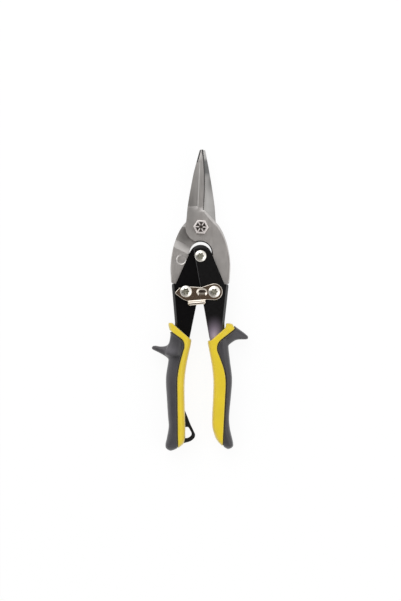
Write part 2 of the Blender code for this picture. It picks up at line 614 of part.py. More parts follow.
def frame_paths(grow=0.0):
    """The handle frame's outer edge and inner edge, each from top to bottom, spread by a clearance."""
    pivot = HANDLE_PIVOT_IN_FRAME
    to_pivot = pivot - FRAME_WAIST_IN
    lean = math.atan2(to_pivot.y, to_pivot.x) + math.asin(EAR_INNER / to_pivot.length)
    along = Vector((math.cos(lean), math.sin(lean)))
    foot = FRAME_WAIST_IN + along * math.sqrt(to_pivot.length ** 2 - EAR_INNER ** 2)
    ear_start = foot + along * math.sqrt(EAR_RADIUS ** 2 - EAR_INNER ** 2)
    start_angle = math.degrees(math.atan2(ear_start.y - pivot.y, ear_start.x - pivot.x))
    to_corner = FRAME_CORNER - pivot
    end_angle = math.atan2(to_corner.y, to_corner.x) + math.acos(EAR_RADIUS / to_corner.length)
    ear = arc(pivot, EAR_RADIUS, start_angle, math.degrees(end_angle), 14)

    hip = Vector((TANG_HIP_OUT, -TANG_HIP))
    end = Vector((TANG_END_OUT, -TANG_END))
    width = Vector((TANG_WIDTH, 0))
    drop = Vector((0, (FRAME_WAIST_OUT.y - hip.y) / 3))
    outer = fillet(ear[-1], FRAME_CORNER, FRAME_WAIST_OUT, FRAME_CORNER_ROUND, 2)
    outer += bezier(FRAME_WAIST_OUT, FRAME_WAIST_OUT - drop, hip + drop, hip, 5)
    outer.append(end)
    drop = Vector((0, (FRAME_WAIST_IN.y - hip.y) / 3))
    inner = bezier(FRAME_WAIST_IN, FRAME_WAIST_IN - along * drop.length, hip - width + drop, hip - width, 5)
    inner.append(end - width)
    if grow:
        outer = shifted(outer, grow)
        inner = shifted(inner, -grow)
        outer[-1].y -= grow
        inner[-1].y -= grow
    return ear, outer, inner


def frame_block(name, grow, collection):
    """The frame's outline as a solid block as thick as its channel."""
    ear, outer, inner = frame_paths(grow)
    outline = ear + outer + inner[::-1]
    return plate(name, outline, -INNER_WALL_HIGH - grow, OUTER_WALL_HIGH + grow, collection)


def channel_void(name, shrink):
    """The inside of the channel: open along the inner edge, and all round above the web."""
    outer = frame_paths()[1]
    corner, *web_face = shifted([FRAME_CORNER] + outer[3:], -SHEET - shrink)
    run = (FRAME_WEB_TOP - corner.y) / (web_face[0].y - corner.y)
    web_top = [Vector((FAR, FRAME_WEB_TOP)), corner.lerp(web_face[0], run)]
    above = [Vector((-FAR, FAR)), Vector((FAR, FAR))] + web_top
    below = [Vector((web_face[-1].x, -FAR)), Vector((-FAR, -FAR))]
    outline = above + web_face + below
    return plate(name, outline, -INNER_WALL_LOW + shrink, OUTER_WALL_LOW - shrink, cutters)


def build_frames(right_axis, left_axis):
    frame = frame_block("right_frame", 0.0, parts)
    web = frame_paths()[1][2:]

    def on_web(edge):
        return all(any((vert.co.to_2d() - p).length < WELD for p in web) for vert in edge.verts)

    def on_rim(edge):
        return at_level(edge, OUTER_WALL_HIGH) or at_level(edge, -INNER_WALL_HIGH)

    bevel_edges(frame, WEB_BEND, 3, lambda edge: on_rim(edge) and on_web(edge))
    holes = [cylinder("frame_tail_hole", (0, 0), POST_HOLE_RADIUS, -FAR, FAR, cutters),
             cylinder("frame_ear_hole", HANDLE_PIVOT_IN_FRAME, POST_HOLE_RADIUS, -FAR, FAR, cutters)]
    cut(frame, channel_void("channel_void", 0.0), *holes)
    left = copy_of(frame, "left_frame")
    place(frame, right_axis)
    place(left, left_axis, (-TAIL_PIVOT_OUT, HANDLE_PIVOT_DROP - TAIL_PIVOT_DROP, 0), HALF_TURN_ABOUT_Y)
    for piece in (frame, left):
        paint(piece, (0.012, 0.011, 0.012), 0.35, 0.0)


def six_lobe_socket(name, low, high):
    outline = []
    for i in range(36):
        angle = 2 * math.pi * i / 36
        radius = SOCKET_RADIUS - SOCKET_LOBE_DEPTH * (0.5 - 0.5 * math.cos(6 * angle)) ** 1.5
        outline.append(Vector((radius * math.cos(angle), radius * math.sin(angle))))
    return plate(name, outline, low, high, cutters)


def pivot_screw(name, seat, neck_radius, neck_end):
    """A pan-head screw: head on its seat, a neck down to neck_end, then the shank inside its post."""
    top = seat + SCREW_HEAD_HEIGHT
    shank = POST_BORE_RADIUS - FIT_GAP
    round_centre = (SCREW_HEAD_RADIUS - SCREW_HEAD_ROUND, top - SCREW_HEAD_CROWN - SCREW_HEAD_ROUND)
    profile = [(0, top), (SOCKET_RADIUS, top - SCREW_HEAD_CROWN / 2)]
    profile += [tuple(p) for p in arc(round_centre, SCREW_HEAD_ROUND, 80, 0, 4)]
    profile += [(SCREW_HEAD_RADIUS, seat + SCREW_HEAD_BREAK), (SCREW_HEAD_RADIUS - SCREW_HEAD_BREAK, seat)]
    if neck_end < seat:
        profile += [(neck_radius, seat), (neck_radius, neck_end)]
    else:
        profile += [(shank, seat)]
    shank_end = neck_end - SCREW_SHANK_LENGTH
    profile += [(shank, neck_end), (shank, shank_end), (0, shank_end)]
    profile = [p for i, p in enumerate(profile) if i == 0 or p != profile[i - 1]]
    screw = turned(name, profile, parts)
    return cut(screw, six_lobe_socket(name + "_socket", top - SOCKET_DEPTH, top + FIT_GAP))


def pivot_post(name, back, front):
    """A threaded post: flange behind the handle's back wall, and a sleeve up to just under the seat."""
    flange_high = back - FIT_GAP
    flange_low = flange_high - POST_FLANGE_THICKNESS
    bore_low = front - POST_BORE_DEPTH
    round_centre = (SCREW_HEAD_RADIUS - SCREW_HEAD_ROUND, flange_low + SCREW_HEAD_ROUND)
    profile = [(0, bore_low), (POST_BORE_RADIUS, bore_low), (POST_BORE_RADIUS, front), (POST_RADIUS, front),
               (POST_RADIUS, flange_high), (SCREW_HEAD_RADIUS, flange_high)]
    profile += [tuple(p) for p in arc(round_centre, SCREW_HEAD_ROUND, 0, -90, 3)] + [(0, flange_low)]
    return turned(name, profile, parts)


def washer_ring(name, outer, low, high):
    hole = POST_HOLE_RADIUS
    profile = [(hole, low), (hole, high), (outer, high), (outer, low), (hole, low)]
    return turned(name, profile, parts)


def build_pivots(handle_axis, right_axis, left_pivot_offset):
    """The three pivot screws with their posts, the spring's sleeve and the tail washers."""
    nickel = ((0.62, 0.6, 0.57), 0.22, 1.0)
    zinc = ((0.45, 0.44, 0.43), 0.4, 1.0)
    head_seat = LATCH_HIGH + FIT_GAP
    plain_seat = OUTER_WALL_HIGH + FIT_GAP
    right_screw = pivot_screw("right_tail_screw", head_seat, 0.0, head_seat)
    left_screw = pivot_screw("left_tail_screw", head_seat, LATCH_NECK_RADIUS, plain_seat)
    handle_screw = pivot_screw("handle_pivot_screw", plain_seat, 0.0, plain_seat)
    right_post = pivot_post("right_tail_post", -INNER_WALL_HIGH, LATCH_HIGH)
    left_post = pivot_post("left_tail_post", -OUTER_WALL_HIGH, OUTER_WALL_HIGH)
    handle_post = pivot_post("handle_pivot_post", -OUTER_WALL_HIGH, OUTER_WALL_HIGH)
    sleeve = washer_ring("spring_sleeve", SLEEVE_RADIUS, -BLADE_FACE, BLADE_FACE)
    right_washer = washer_ring("right_tail_washer", TAIL_WASHER_RADIUS, INNER_WALL_LOW, INNER_WALL_HIGH)
    left_washer = copy_of(right_washer, "left_tail_washer")
    for piece in (right_screw, right_post, right_washer):
        place(piece, right_axis)
    for piece in (handle_screw, handle_post, sleeve):
        place(piece, handle_axis)
    for piece in (left_screw, left_post):
        place(piece, handle_axis, left_pivot_offset)
    place(left_washer, handle_axis, left_pivot_offset, HALF_TURN_ABOUT_Y)
    for piece in (right_screw, left_screw, handle_screw):
        paint(piece, *nickel)
    for piece in (right_post, left_post, handle_post, sleeve, right_washer, left_washer):
        paint(piece, *zinc)


def spring_path():
    """Left leg up, clockwise round the sleeve with a steady climb, and right leg down."""
    radius = SPRING_MEAN_RADIUS
    half_height = SPRING_TURNS * SPRING_PITCH / 2
    steps = round(SPRING_TURNS * SPRING_POINTS_PER_TURN)
    coil = []
    for i in range(steps + 1):
        angle = math.pi - 2 * math.pi * SPRING_TURNS * i / steps
        coil.append(Vector((radius * math.cos(angle), radius * math.sin(angle),
                            half_height * (2 * i / steps - 1))))
    foot = Vector((radius - SPRING_LEG_LEAN, -SPRING_LEG_DROP, 0))
    left_foot = Vector((-foot.x, foot.y, -half_height))
    right_foot = Vector((foot.x, foot.y, half_height))
    left_leg = [left_foot.lerp(coil[0], t) for t in (0.0, 0.5)]
    right_leg = [coil[-1].lerp(right_foot, t) for t in (0.5, 1.0)]
    return left_leg + coil + right_leg


def least_self_gap(path, thickness, samples=8):
    """Least gap between stretches of the wire that are over half a turn apart along it."""
    fine = []
    for a, b in zip(path, path[1:]):
        fine += [a.lerp(b, i / samples) for i in range(samples)]
    apart = SPRING_POINTS_PER_TURN * samples // 2
    pairs = ((p - q).length for i, p in enumerate(fine) for q in fine[i + apart:])
    return min(pairs) - thickness


def build_spring(axis):
    path = spring_path()
    guide = curve_object("torsion_spring", path, cyclic=False)
    guide.data.dimensions = "3D"
    guide.data.bevel_depth = SPRING_WIRE / 2
    guide.data.bevel_resolution = 1
    guide.data.use_fill_caps = True
    spring = curve_to_mesh(guide, parts)
    place(spring, axis)
    paint(spring, (0.35, 0.34, 0.33), 0.35, 1.0)
    print(f"torsion_spring least gap to itself: {least_self_gap(path, SPRING_WIRE) / MM:.2f} mm")


def latch_lower_edge():
    """Both ends of the latch's straight lower edge, under the caught neck and beside the lobe."""
    chin = Vector((-TAIL_PIVOT_SPREAD, -LATCH_CHIN_DROP))
    ankle = Vector((LATCH_THICKNESS - LATCH_LIP_END, LATCH_ANKLE_RISE - LATCH_LOBE_RADIUS))
    return chin, ankle


def latch_outline():
    """Latch plate from above, from the foot of its lobe anticlockwise; the caught neck is at the left."""
    neck = Vector((-TAIL_PIVOT_SPREAD, 0))
    room = LATCH_NECK_RADIUS + FIT_GAP
    corner = neck + Vector((-LATCH_FINGER_LEAN, LATCH_FINGER_UP))
    # The finger's inner side is the line from its corner that just clears the neck
    facing = math.atan2(LATCH_FINGER_UP, -LATCH_FINGER_LEAN)
    touch = math.degrees(facing + math.acos(room / (corner - neck).length))
    point = neck + Vector((-LATCH_FINGER_OUT, -LATCH_FINGER_DROP))
    chin, ankle = latch_lower_edge()
    waist = Vector((-LATCH_DIMPLE_OUT, LATCH_WAIST_TOP))
    brow = Vector((neck.x + SCREW_HEAD_RADIUS, LATCH_TOP))
    gate = Vector((neck.x + room, LATCH_TOP))
    lobe = arc((0, 0), LATCH_LOBE_RADIUS, -90, 110, 16)
    top_edge = bulge(lobe[-1], waist, -LATCH_WAIST_SAG, 4)[1:] + [brow, gate]
    finger = fillet(neck, corner, point, LATCH_CORNER_ROUND, 2)
    finger += fillet(corner, point, chin, LATCH_POINT_ROUND)
    finger += fillet(point, chin, ankle, LATCH_CHIN_ROUND)
    return lobe + top_edge + arc(neck, room, 360, touch, 9) + finger + [ankle]


def latch_lip():
    """The bent thumb lip, along the latch's lower edge."""
    chin, ankle = latch_lower_edge()
    run = ankle - chin
    start = chin + run * (LATCH_LIP_INSET / run.x)
    end = chin + run * ((TAIL_PIVOT_SPREAD - LATCH_LIP_END) / run.x)
    sheet = LATCH_THICKNESS
    bend, tip = Vector((LATCH_LIP_BEND, 0)), Vector((LATCH_LIP_REACH, LATCH_LIP_RISE))
    slope = (tip - bend).normalized()
    back = tip + Vector((-slope.y, slope.x)) * sheet
    section = [Vector((-sheet, 0)), bend, tip, back, Vector((0, sheet)), Vector((-sheet, sheet))]
    along = end - start
    lip = plate("latch_lip", section, 0, along.length, cutters)

    def free_corner(edge):
        across = abs(edge.verts[0].co.z - edge.verts[1].co.z) < WELD
        return across and all(vert.co.y > LATCH_LIP_RISE - WELD for vert in edge.verts)

    bevel_edges(lip, LATCH_LIP_ROUND, 3, free_corner)
    outward = Vector((along.y, -along.x, 0)).normalized()
    axes = Matrix((outward, Vector((0, 0, 1)), along.normalized().to_3d())).transposed().to_4x4()
    lip.data.transform(Matrix.Translation((*start, LATCH_LOW)) @ axes)
    return lip


def build_latch(axis):
    latch = plate("latch_plate", latch_outline(), LATCH_LOW, LATCH_HIGH, parts)
    combine(latch, "UNION", latch_lip())
    half = LATCH_DIMPLE_WIDTH / 2
    run = (LATCH_DIMPLE_LENGTH - LATCH_DIMPLE_WIDTH) / 2
    middle = Vector((-LATCH_DIMPLE_OUT, -LATCH_DIMPLE_DROP))
    rings = []
    for rise in (-LATCH_DIMPLE_DEPTH, FIT_GAP):
        ends = arc((run, 0), half + rise, -90, 90, 8) + arc((-run, 0), half + rise, 90, 270, 8)
        rings.append([(*(p + middle), LATCH_HIGH + rise) for p in ends])
    dimple = loft("latch_dimple", rings, cutters)
    cut(latch, dimple, cylinder("latch_hole", (0, 0), POST_HOLE_RADIUS, -FAR, FAR, cutters))
    place(latch, axis)
    paint(latch, (0.42, 0.38, 0.33), 0.15, 1.0)


def superellipse(count, power):
    """Unit ring with a flat at the top and bottom, both at height one."""
    def bend(value):
        return math.copysign(abs(value) ** (2 / power), value)
    angles = [2 * math.pi * (i + 0.5) / count for i in range(count)]
    crest = max(bend(math.sin(a)) for a in angles)
    return [(bend(math.cos(a)), bend(math.sin(a)) / crest) for a in angles]


def grip_form(name, heel_outer, heel_inner, guard, collar):
    """Outer shape of a grip: a loft down the handle, cut slanted at the collar, with its guard."""
    outer_edge, inner_edge = GRIP_OUTER + heel_outer, GRIP_INNER + heel_inner
    end = outer_edge[-1][0]
    round_start = heel_outer[1][0]
    unit = superellipse(GRIP_SIDES, GRIP_SQUARENESS)
    rings = []
    for down in GRIP_SECTIONS + tuple(end - up for up in HEEL_SECTIONS):
        high, low = smooth_value(outer_edge, down), smooth_value(inner_edge, down)
        middle, half = (high + low) / 2, max((high - low) / 2, HEEL_HALF_WIDTH)
        past = max(0.0, down - round_start) / (end - round_start)
        share = HEEL_THICKNESS_SHARE + (1 - HEEL_THICKNESS_SHARE) * math.sqrt(1 - past ** 3)
        depth = GRIP_HALF_THICKNESS * share
        rings.append([((middle + half * c) * MM, -down * MM, depth * s) for c, s in unit])
    form = loft(name + "_form", rings, cutters)
    sections = []
    for out, top, bottom, thick in guard:
        middle, half = -(top + bottom) / 2, (bottom - top) / 2
        sections.append([(out * MM, (middle + half * c) * MM, thick * MM * s) for c, s in unit])
    combine(form, "UNION", loft(name + "_guard", sections, cutters))
    edge = [Vector((out, -down)) * MM for down, out in reversed(collar)]
    above = [Vector((FAR, edge[-1].y)), Vector((FAR, FAR)), Vector((-FAR, FAR)), Vector((-FAR, edge[0].y))]
    top = plate(name + "_collar_cut", above + edge, -FAR, FAR, cutters)
    return cut(form, top)


def border_block(name, band, bend, hip, foot, inset):
    """The region outside a grip's colour border, through the grip's whole thickness."""
    def point(pair):
        return Vector((pair[1], -pair[0])) * MM
    band_end, bend_end, hip_end = point(band[-1]), point(bend[2]), point(hip[2])
    path = [point(pair) for pair in band[:-1]] + bezier(band_end, point(bend[0]), point(bend[1]), bend_end, 5)
    path += bezier(bend_end, point(hip[0]), point(hip[1]), hip_end, 6)[1:] + [point(foot)]
    path = shifted(path, inset)
    outside = [Vector((FAR, path[-1].y)), Vector((FAR, path[0].y))]
    return plate(name, path + outside, -FAR, FAR, cutters)


def build_grip(side, axis, offset, rotation, shape, border, slots=()):
    """A grip's core, which shows as the band and the inner strip, and its cover, with the guard."""
    form = grip_form(side + "_grip", *shape)
    core = new_object(side + "_grip_core", form.data.copy(), parts)
    cover = new_object(side + "_grip_cover", form.data.copy(), parts)
    tang = frame_block(side + "_tang_room", FIT_GAP, cutters)
    channel = new_object(side + "_channel_room", tang.data.copy(), cutters)
    cut(channel, channel_void(side + "_channel_core", FIT_GAP))
    cut(core, border_block(side + "_core_border", *border, 0.0), channel, *slots)
    combine(cover, "INTERSECT", border_block(side + "_cover_border", *border, FIT_GAP))
    cut(cover, tang)
    for piece in (core, cover):
        place(piece, axis, offset, rotation)
    paint(core, (0.81, 0.62, 0.035), 0.45, 0.0)
    paint(cover, (0.085, 0.078, 0.088), 0.6, 0.0)


def hang_loop_plate(name, grow, collection):
    """The hang loop's outline, root included, spread by a clearance."""
    edge = shifted([Vector((-inward, -down)) * MM for down, inward in LOOP_OUTLINE], -grow)
    root = LOOP_ROOT + grow
    corners = [Vector((root, edge[-1].y - grow)), Vector((root, edge[0].y + grow))]
    half = LOOP_THICKNESS / 2 + grow
    return plate(name, edge + corners, -half, half, collection)


def build_hang_loop(axis, offset):
    """A flat eye whose root sits in a slot of the left grip's core."""
    loop = hang_loop_plate("hang_loop", 0.0, parts)
    half = LOOP_THICKNESS / 2
    bevel_edges(loop, LOOP_EDGE, 1, lambda edge: at_level(edge, half) or at_level(edge, -half))
    hole = [Vector((-inward, -down)) * MM for down, inward in LOOP_HOLE]
    cut(loop, plate("loop_hole", hole, -FAR, FAR, cutters))
    place(loop, axis, offset, HALF_TURN_ABOUT_Y)
    paint(loop, (0.015, 0.015, 0.016), 0.5, 0.0)


def add_axis(name, location, parent):
    empty = bpy.data.objects.new(name, None)
    parts.objects.link(empty)
    empty.empty_display_size = EAR_RADIUS
    empty.parent = parent
    empty.location = location
    return empty


def main():
    root = add_axis("shear_plane", (0, 0, REST_HEIGHT), None)
    handle_axis = add_axis("handle_pivot_axis", (0, -HANDLE_PIVOT_DROP, 0), root)
    right_axis = add_axis("right_tail_axis", (TAIL_PIVOT_OUT, -TAIL_PIVOT_DROP, 0), root)
    left_axis = add_axis("left_tail_axis", (-TAIL_PIVOT_OUT, -TAIL_PIVOT_DROP, 0), root)
    left_offset = (-TAIL_PIVOT_OUT, HANDLE_PIVOT_DROP - TAIL_PIVOT_DROP, 0)

    build_blades(right_axis, left_axis)
    build_main_bolt(right_axis)
    build_frames(right_axis, handle_axis)
    build_pivots(handle_axis, right_axis, left_offset)
    build_spring(handle_axis)
    build_latch(right_axis)
    build_grip("right", right_axis, (0, 0, 0), (0, 0, 0),
               (RIGHT_HEEL_OUTER, RIGHT_HEEL_INNER, RIGHT_GUARD, RIGHT_COLLAR),
               (RIGHT_BAND, RIGHT_BEND, RIGHT_HIP, RIGHT_FOOT))
    loop_slot = hang_loop_plate("loop_slot", FIT_GAP, cutters)
    build_grip("left", handle_axis, left_offset, HALF_TURN_ABOUT_Y,
               (LEFT_HEEL_OUTER, LEFT_HEEL_INNER, LEFT_GUARD, LEFT_COLLAR),
               (LEFT_BAND, LEFT_BEND, LEFT_HIP, LEFT_FOOT), [loop_slot])
    build_hang_loop(handle_axis, left_offset)
    bpy.context.view_layer.update()


for leftover in list(bpy.data.objects):
    bpy.data.objects.remove(leftover)
parts = make_collection("aviation_snips")
cutters = make_collection("cutters")
main()
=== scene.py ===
"""Looks of a pair of aviation snips: rounded steel, plated fasteners, moulded grips, finishes and a studio.

The file is laid out as an add-on and is run as a script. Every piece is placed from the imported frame, in
metres: +Y runs to the jaw tips, +X to the right handle and +Z out of the front face.
"""
import json
import math
from contextlib import contextmanager

import bpy
from bpy.props import FloatProperty, FloatVectorProperty, IntProperty, PointerProperty
from bpy.types import Operator, Panel, PropertyGroup
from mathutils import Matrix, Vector


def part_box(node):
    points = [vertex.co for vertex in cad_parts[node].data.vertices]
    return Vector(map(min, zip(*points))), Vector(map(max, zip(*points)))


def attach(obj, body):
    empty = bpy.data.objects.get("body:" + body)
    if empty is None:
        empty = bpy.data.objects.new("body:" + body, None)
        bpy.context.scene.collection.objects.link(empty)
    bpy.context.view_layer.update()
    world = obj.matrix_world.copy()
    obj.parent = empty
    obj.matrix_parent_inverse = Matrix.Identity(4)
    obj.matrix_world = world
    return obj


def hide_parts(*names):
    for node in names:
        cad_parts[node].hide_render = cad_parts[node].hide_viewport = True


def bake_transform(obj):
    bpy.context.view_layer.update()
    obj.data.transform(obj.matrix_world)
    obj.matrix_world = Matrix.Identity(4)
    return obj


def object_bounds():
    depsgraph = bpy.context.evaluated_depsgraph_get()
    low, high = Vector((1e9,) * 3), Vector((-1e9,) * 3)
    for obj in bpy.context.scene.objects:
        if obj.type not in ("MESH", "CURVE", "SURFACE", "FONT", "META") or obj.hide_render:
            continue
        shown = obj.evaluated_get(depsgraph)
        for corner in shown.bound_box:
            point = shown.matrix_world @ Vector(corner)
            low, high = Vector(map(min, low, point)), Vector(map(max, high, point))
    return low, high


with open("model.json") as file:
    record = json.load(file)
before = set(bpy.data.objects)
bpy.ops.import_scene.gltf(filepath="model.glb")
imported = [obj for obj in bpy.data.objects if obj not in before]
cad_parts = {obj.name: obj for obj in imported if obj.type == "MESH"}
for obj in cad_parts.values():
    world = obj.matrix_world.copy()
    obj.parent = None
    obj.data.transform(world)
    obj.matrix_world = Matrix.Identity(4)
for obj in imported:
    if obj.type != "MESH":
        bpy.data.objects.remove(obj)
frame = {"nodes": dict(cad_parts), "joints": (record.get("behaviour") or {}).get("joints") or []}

bl_info = {
    "name": "Aviation snips",
    "version": (1, 0, 0),
    "blender": (4, 5, 0),
    "location": "3D View > Sidebar > Snips",
    "description": "Models and finishes a pair of aviation snips around its packed frame",
    "category": "Object",
}

MM = 0.001
# Tests on points and faces: welding distance, nearness to a level, upright share of a level face's normal
WELD = 0.00001
NEAR = 0.05 * MM
LEVEL = 0.99
CAD_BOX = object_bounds()
JOINT_PLACE = {joint["name"]: Vector(joint["pos_m"]) for joint in frame["joints"]}
HANDLE_PIVOT = JOINT_PLACE["handle_spread"]
RIGHT_TAIL = JOINT_PLACE["front_blade_swing"]
LEFT_TAIL = JOINT_PLACE["rear_blade_swing"]
SHEAR_LEVEL = HANDLE_PIVOT.z
CUTTER_REACH = 60 * MM
# Along the blade from the main bolt: where the jaw is free of the boss, its root and its nose
THROAT = 15 * MM
JAW_ROOT = (7 * MM, 16 * MM)
NOSE = (45 * MM, 65 * MM)

# Paths on a blade as it lies in front, in millimetres from the main bolt and above the shear plane. Rims are
# (out, up, across, down), ground edges (out, up, height, width)
FACE_HEIGHT = 4.1
BEVEL_SLOPE = 0.85
RIM = ((2.4, 15.0, 0.4, 0.2), (6.0, 11.2, 2.8, 1.0), (13.3, 3.3, 3.0, 1.1), (16.3, -0.7, 2.2, 1.0),
       (20.4, -9.0, 1.4, 0.8), (23.4, -19.3, 1.0, 0.6), (24.7, -27.0, 0.9, 0.6), (25.0, -35.0, 0.9, 0.6),
       (24.3, -45.6, 0.9, 0.6))
TAIL_RIM = ((22.4, -15.8, 0.1, 0.05), (23.9, -22.0, 0.9, 0.6)) + RIM[-3:]
CUTTING_EDGE = ((2.2, 14.2, 4.1, 0.9), (2.7, 21.5, 4.1, 0.9), (3.05, 33.0, 4.1, 0.9), (2.7, 45.4, 4.1, 0.9),
                (2.05, 53.6, 4.1, 0.9), (1.0, 65.0, 2.6, 1.4))
NOSE_SIDE = ((-4.3, 53.4, 3.55, 1.3), (-3.6, 56.6, 3.7, 1.3), (-1.9, 64.4, 2.65, 1.3))
RIDGE = ((-2.7, 17.2), (-1.6, 53.4))
# Painted shade on each blade: centre, reach, strength at which it is full, share of the steel's colour
BLADE_PAINTED_SHADES = {"front": (((-0.009, 0.02, 0.0135), (0.014, 0.045, 0.02), 1.0, 0.52),
                          ((0.0, 0.036, 0.0135), (0.010, 0.026, 0.02), 1.0, 0.74),
                          ((0.0005, 0.062, 0.0135), (0.006, 0.012, 0.02), 1.0, 0.7)),
                "rear": (((-0.0125, -0.0065, 0.0103), (0.013, 0.017, 0.006), 0.55, 0.52),)}
# Painted shade at the back of the rear jaw's cutting face and a painted dark reflection before its nose: centre and
# reach
SHEAR_PAINTED_SHADE = ((0.0085, 0.038, SHEAR_LEVEL), (0.0095, 0.018, 0.02))
SHEAR_PAINTED_REFLECTION = ((0.0045, 0.0498, SHEAR_LEVEL), (0.02, 0.0105, 0.02))
# Hollow below the bolt: middle and radius. Stamp in the tail: middle, floor below the shear plane, share of its
# mouth that the floor keeps
HOLLOW = ((-0.6, -22.0), 9.85)
STAMP = ((15.87, -27.57), 3.7, 0.8)
# Frame's front edge, (out, up) from the main bolt: from the ear straight down to the corner
FRAME_EDGE = ((8.54, -20.4), (20.1, -47.2), (30.0, -47.6), (30.0, -20.4))
FRAME_FOLD = ((23.7, -46.4), (23.43, -49.2), (20.5, -79.5), (20.75, -89.3), (21.3, -99.0))
FRAME_INNER = ((-6.5, -15.2), (8.2, -91.8))
FOLD_SLOPE = 0.58
# Ear's crown: middle along the tool, radius where it starts, its reach and fall, and the box that it is cut in
EAR_CROWN = (-28.0, 10.6, 8.0, 3.1)
EAR_TOP = ((-15, -20.4), (15, -20.4), (15, -5), (-15, -5))
# Painted reflection on the right frame above the grip: centre and reach
FRAME_PAINTED_SHEEN = ((0.0123, -0.0902, 0.018), (0.011, 0.019, 0.004))
LIP_BOX = ((-30, -75), (30, -75), (30, -58), (-30, -58))

# Grip edges, (down, outwards) from each tail pivot in millimetres
GRIP_OUTER = ((20.0, 15.0), (28.0, 14.3), (32.0, 13.2), (37.0, 12.2), (46.0, 12.4), (58.0, 13.9),
              (72.0, 15.7), (88.0, 14.8), (104.0, 13.6))
GRIP_INNER = ((20.0, -5.6), (41.0, -5.0), (52.0, -2.9), (63.0, -0.9), (75.0, 0.2), (90.0, 0.0),
              (104.0, -0.5))
RIGHT_HEEL = (((113.0, 14.4), (122.0, 16.6), (127.3, 17.5), (129.4, 15.8), (130.3, 13.2)),
              ((112.0, -0.2), (118.0, 1.4), (123.0, 3.7), (127.6, 8.2), (130.3, 12.8)))
LEFT_HEEL = (((112.0, 12.9), (122.0, 14.4), (128.5, 15.6), (131.2, 13.8), (132.3, 11.2)),
             ((113.0, -0.9), (121.0, -0.7), (126.0, 0.4), (129.8, 4.8), (132.3, 10.8)))
# Collar's top edge: raised outer end, its foot beside the frame, inner end of the slant
RIGHT_COLLAR = ((25.9, 10.2), (29.4, 9.9), (40.5, -2.4))
LEFT_COLLAR = ((26.2, 11.0), (28.0, 9.2), (39.5, -4.4))
# Guard sections: outwards, top edge down, bottom edge down, half thickness
RIGHT_GUARD = ((9.0, 26.0, 47.0, 9.2), (15.0, 26.3, 42.0, 8.8), (18.5, 29.0, 39.8, 7.8),
               (22.5, 31.7, 39.2, 6.4), (26.0, 34.3, 39.2, 4.8), (28.6, 36.6, 38.8, 2.4))
LEFT_GUARD = ((9.0, 40.0, 60.0, 9.2), (13.5, 43.6, 56.2, 8.8), (16.0, 45.3, 54.2, 7.8),
              (20.5, 45.9, 51.6, 6.2), (25.3, 45.2, 49.3, 4.6), (27.7, 46.0, 48.2, 2.4))
# Colour border: along the band, three points round the bend, three out to the hip, and the heel
RIGHT_BORDER = ((24.0, 15.0), (30.6, 17.2), (39.5, 6.0), (42.8, 2.2), (48.0, 1.9), (52.0, 4.3), (60.5, 7.5),
                (66.0, 10.4), (77.0, 10.4), (134.0, 8.2))
LEFT_BORDER = ((27.0, 20.5), (39.2, 3.0), (41.8, 0.2), (46.0, -0.1), (49.0, 1.4), (57.0, 3.6),
               (66.0, 6.2), (76.0, 6.1), (136.0, 4.7))
# Pad on the left cover that ends in a crease below the guard: down, inner edge, outer edge, rise
LEFT_PAD = ((24.0, 2.6, 10.8, -0.6), (32.0, 2.2, 11.7, 0.0), (42.0, 2.2, 13.2, 0.6), (49.0, 2.6, 16.6, 1.4),
            (52.4, 3.4, 16.6, 1.6), (53.8, 5.0, 15.2, -0.6))
# Painted light and shade on the covers, each (centre, reach, share of the colour). Left: painted light on the flank
# and a painted highlight on the swell above the crease, painted shade along the groove, a painted shadow in the
# crease and painted shade under
# the guard. Right: painted shade on the flank
LEFT_PAINTED_LIGHT = (((-0.0275, -0.1420, 0.0205), (0.010, 0.075, 0.03), 1.5),
             ((-0.0240, -0.1030, 0.0205), (0.016, 0.010, 0.02), 2.6),
             ((-0.0158, -0.1015, 0.0205), (0.0065, 0.03, 0.02), 0.45),
             ((-0.0195, -0.1077, 0.0205), (0.011, 0.0046, 0.02), 0.2),
             ((-0.0298, -0.1060, 0.0205), (0.008, 0.0046, 0.02), 0.25))
RIGHT_PAINTED_SHADE = (((0.0255, -0.1400, 0.0205), (0.010, 0.085, 0.03), 0.7),)
# Hang loop, (down, inwards) from the left tail pivot
LOOP_EDGE = ((99.0, 0.4), (103.5, 2.4), (109.9, 5.0), (116.2, 8.1), (118.3, 9.0), (120.2, 8.9), (122.2, 7.7),
             (124.2, 4.9), (125.6, 0.2))
LOOP_EYE = ((112.4, 0.9), (112.4, 3.0), (113.2, 3.9), (115.3, 5.1), (117.2, 6.0), (118.9, 5.9), (120.4, 4.7),
            (121.3, 3.0), (121.7, 0.9))
LOOP_ROOT = -1.6
# Lamps: size and place. Cards overhead that only reflections see, painted reflections: radius, place and colour
LAMPS = {"key_lamp": (1.5, (-0.55, 0.85, 1.1)), "fill_lamp": (1.2, (0.9, -0.5, 0.9))}
CARDS = {"grey_card": (0.95, (-0.45, -0.45, 1.1), (0.30, 0.29, 0.28)),
         "left_card": (0.4, (-0.8, -0.1, 1.08), (0.08, 0.08, 0.08)),
         "dark_card": (0.17, (0.0, -0.06, 1.09), (0.09, 0.06, 0.04))}


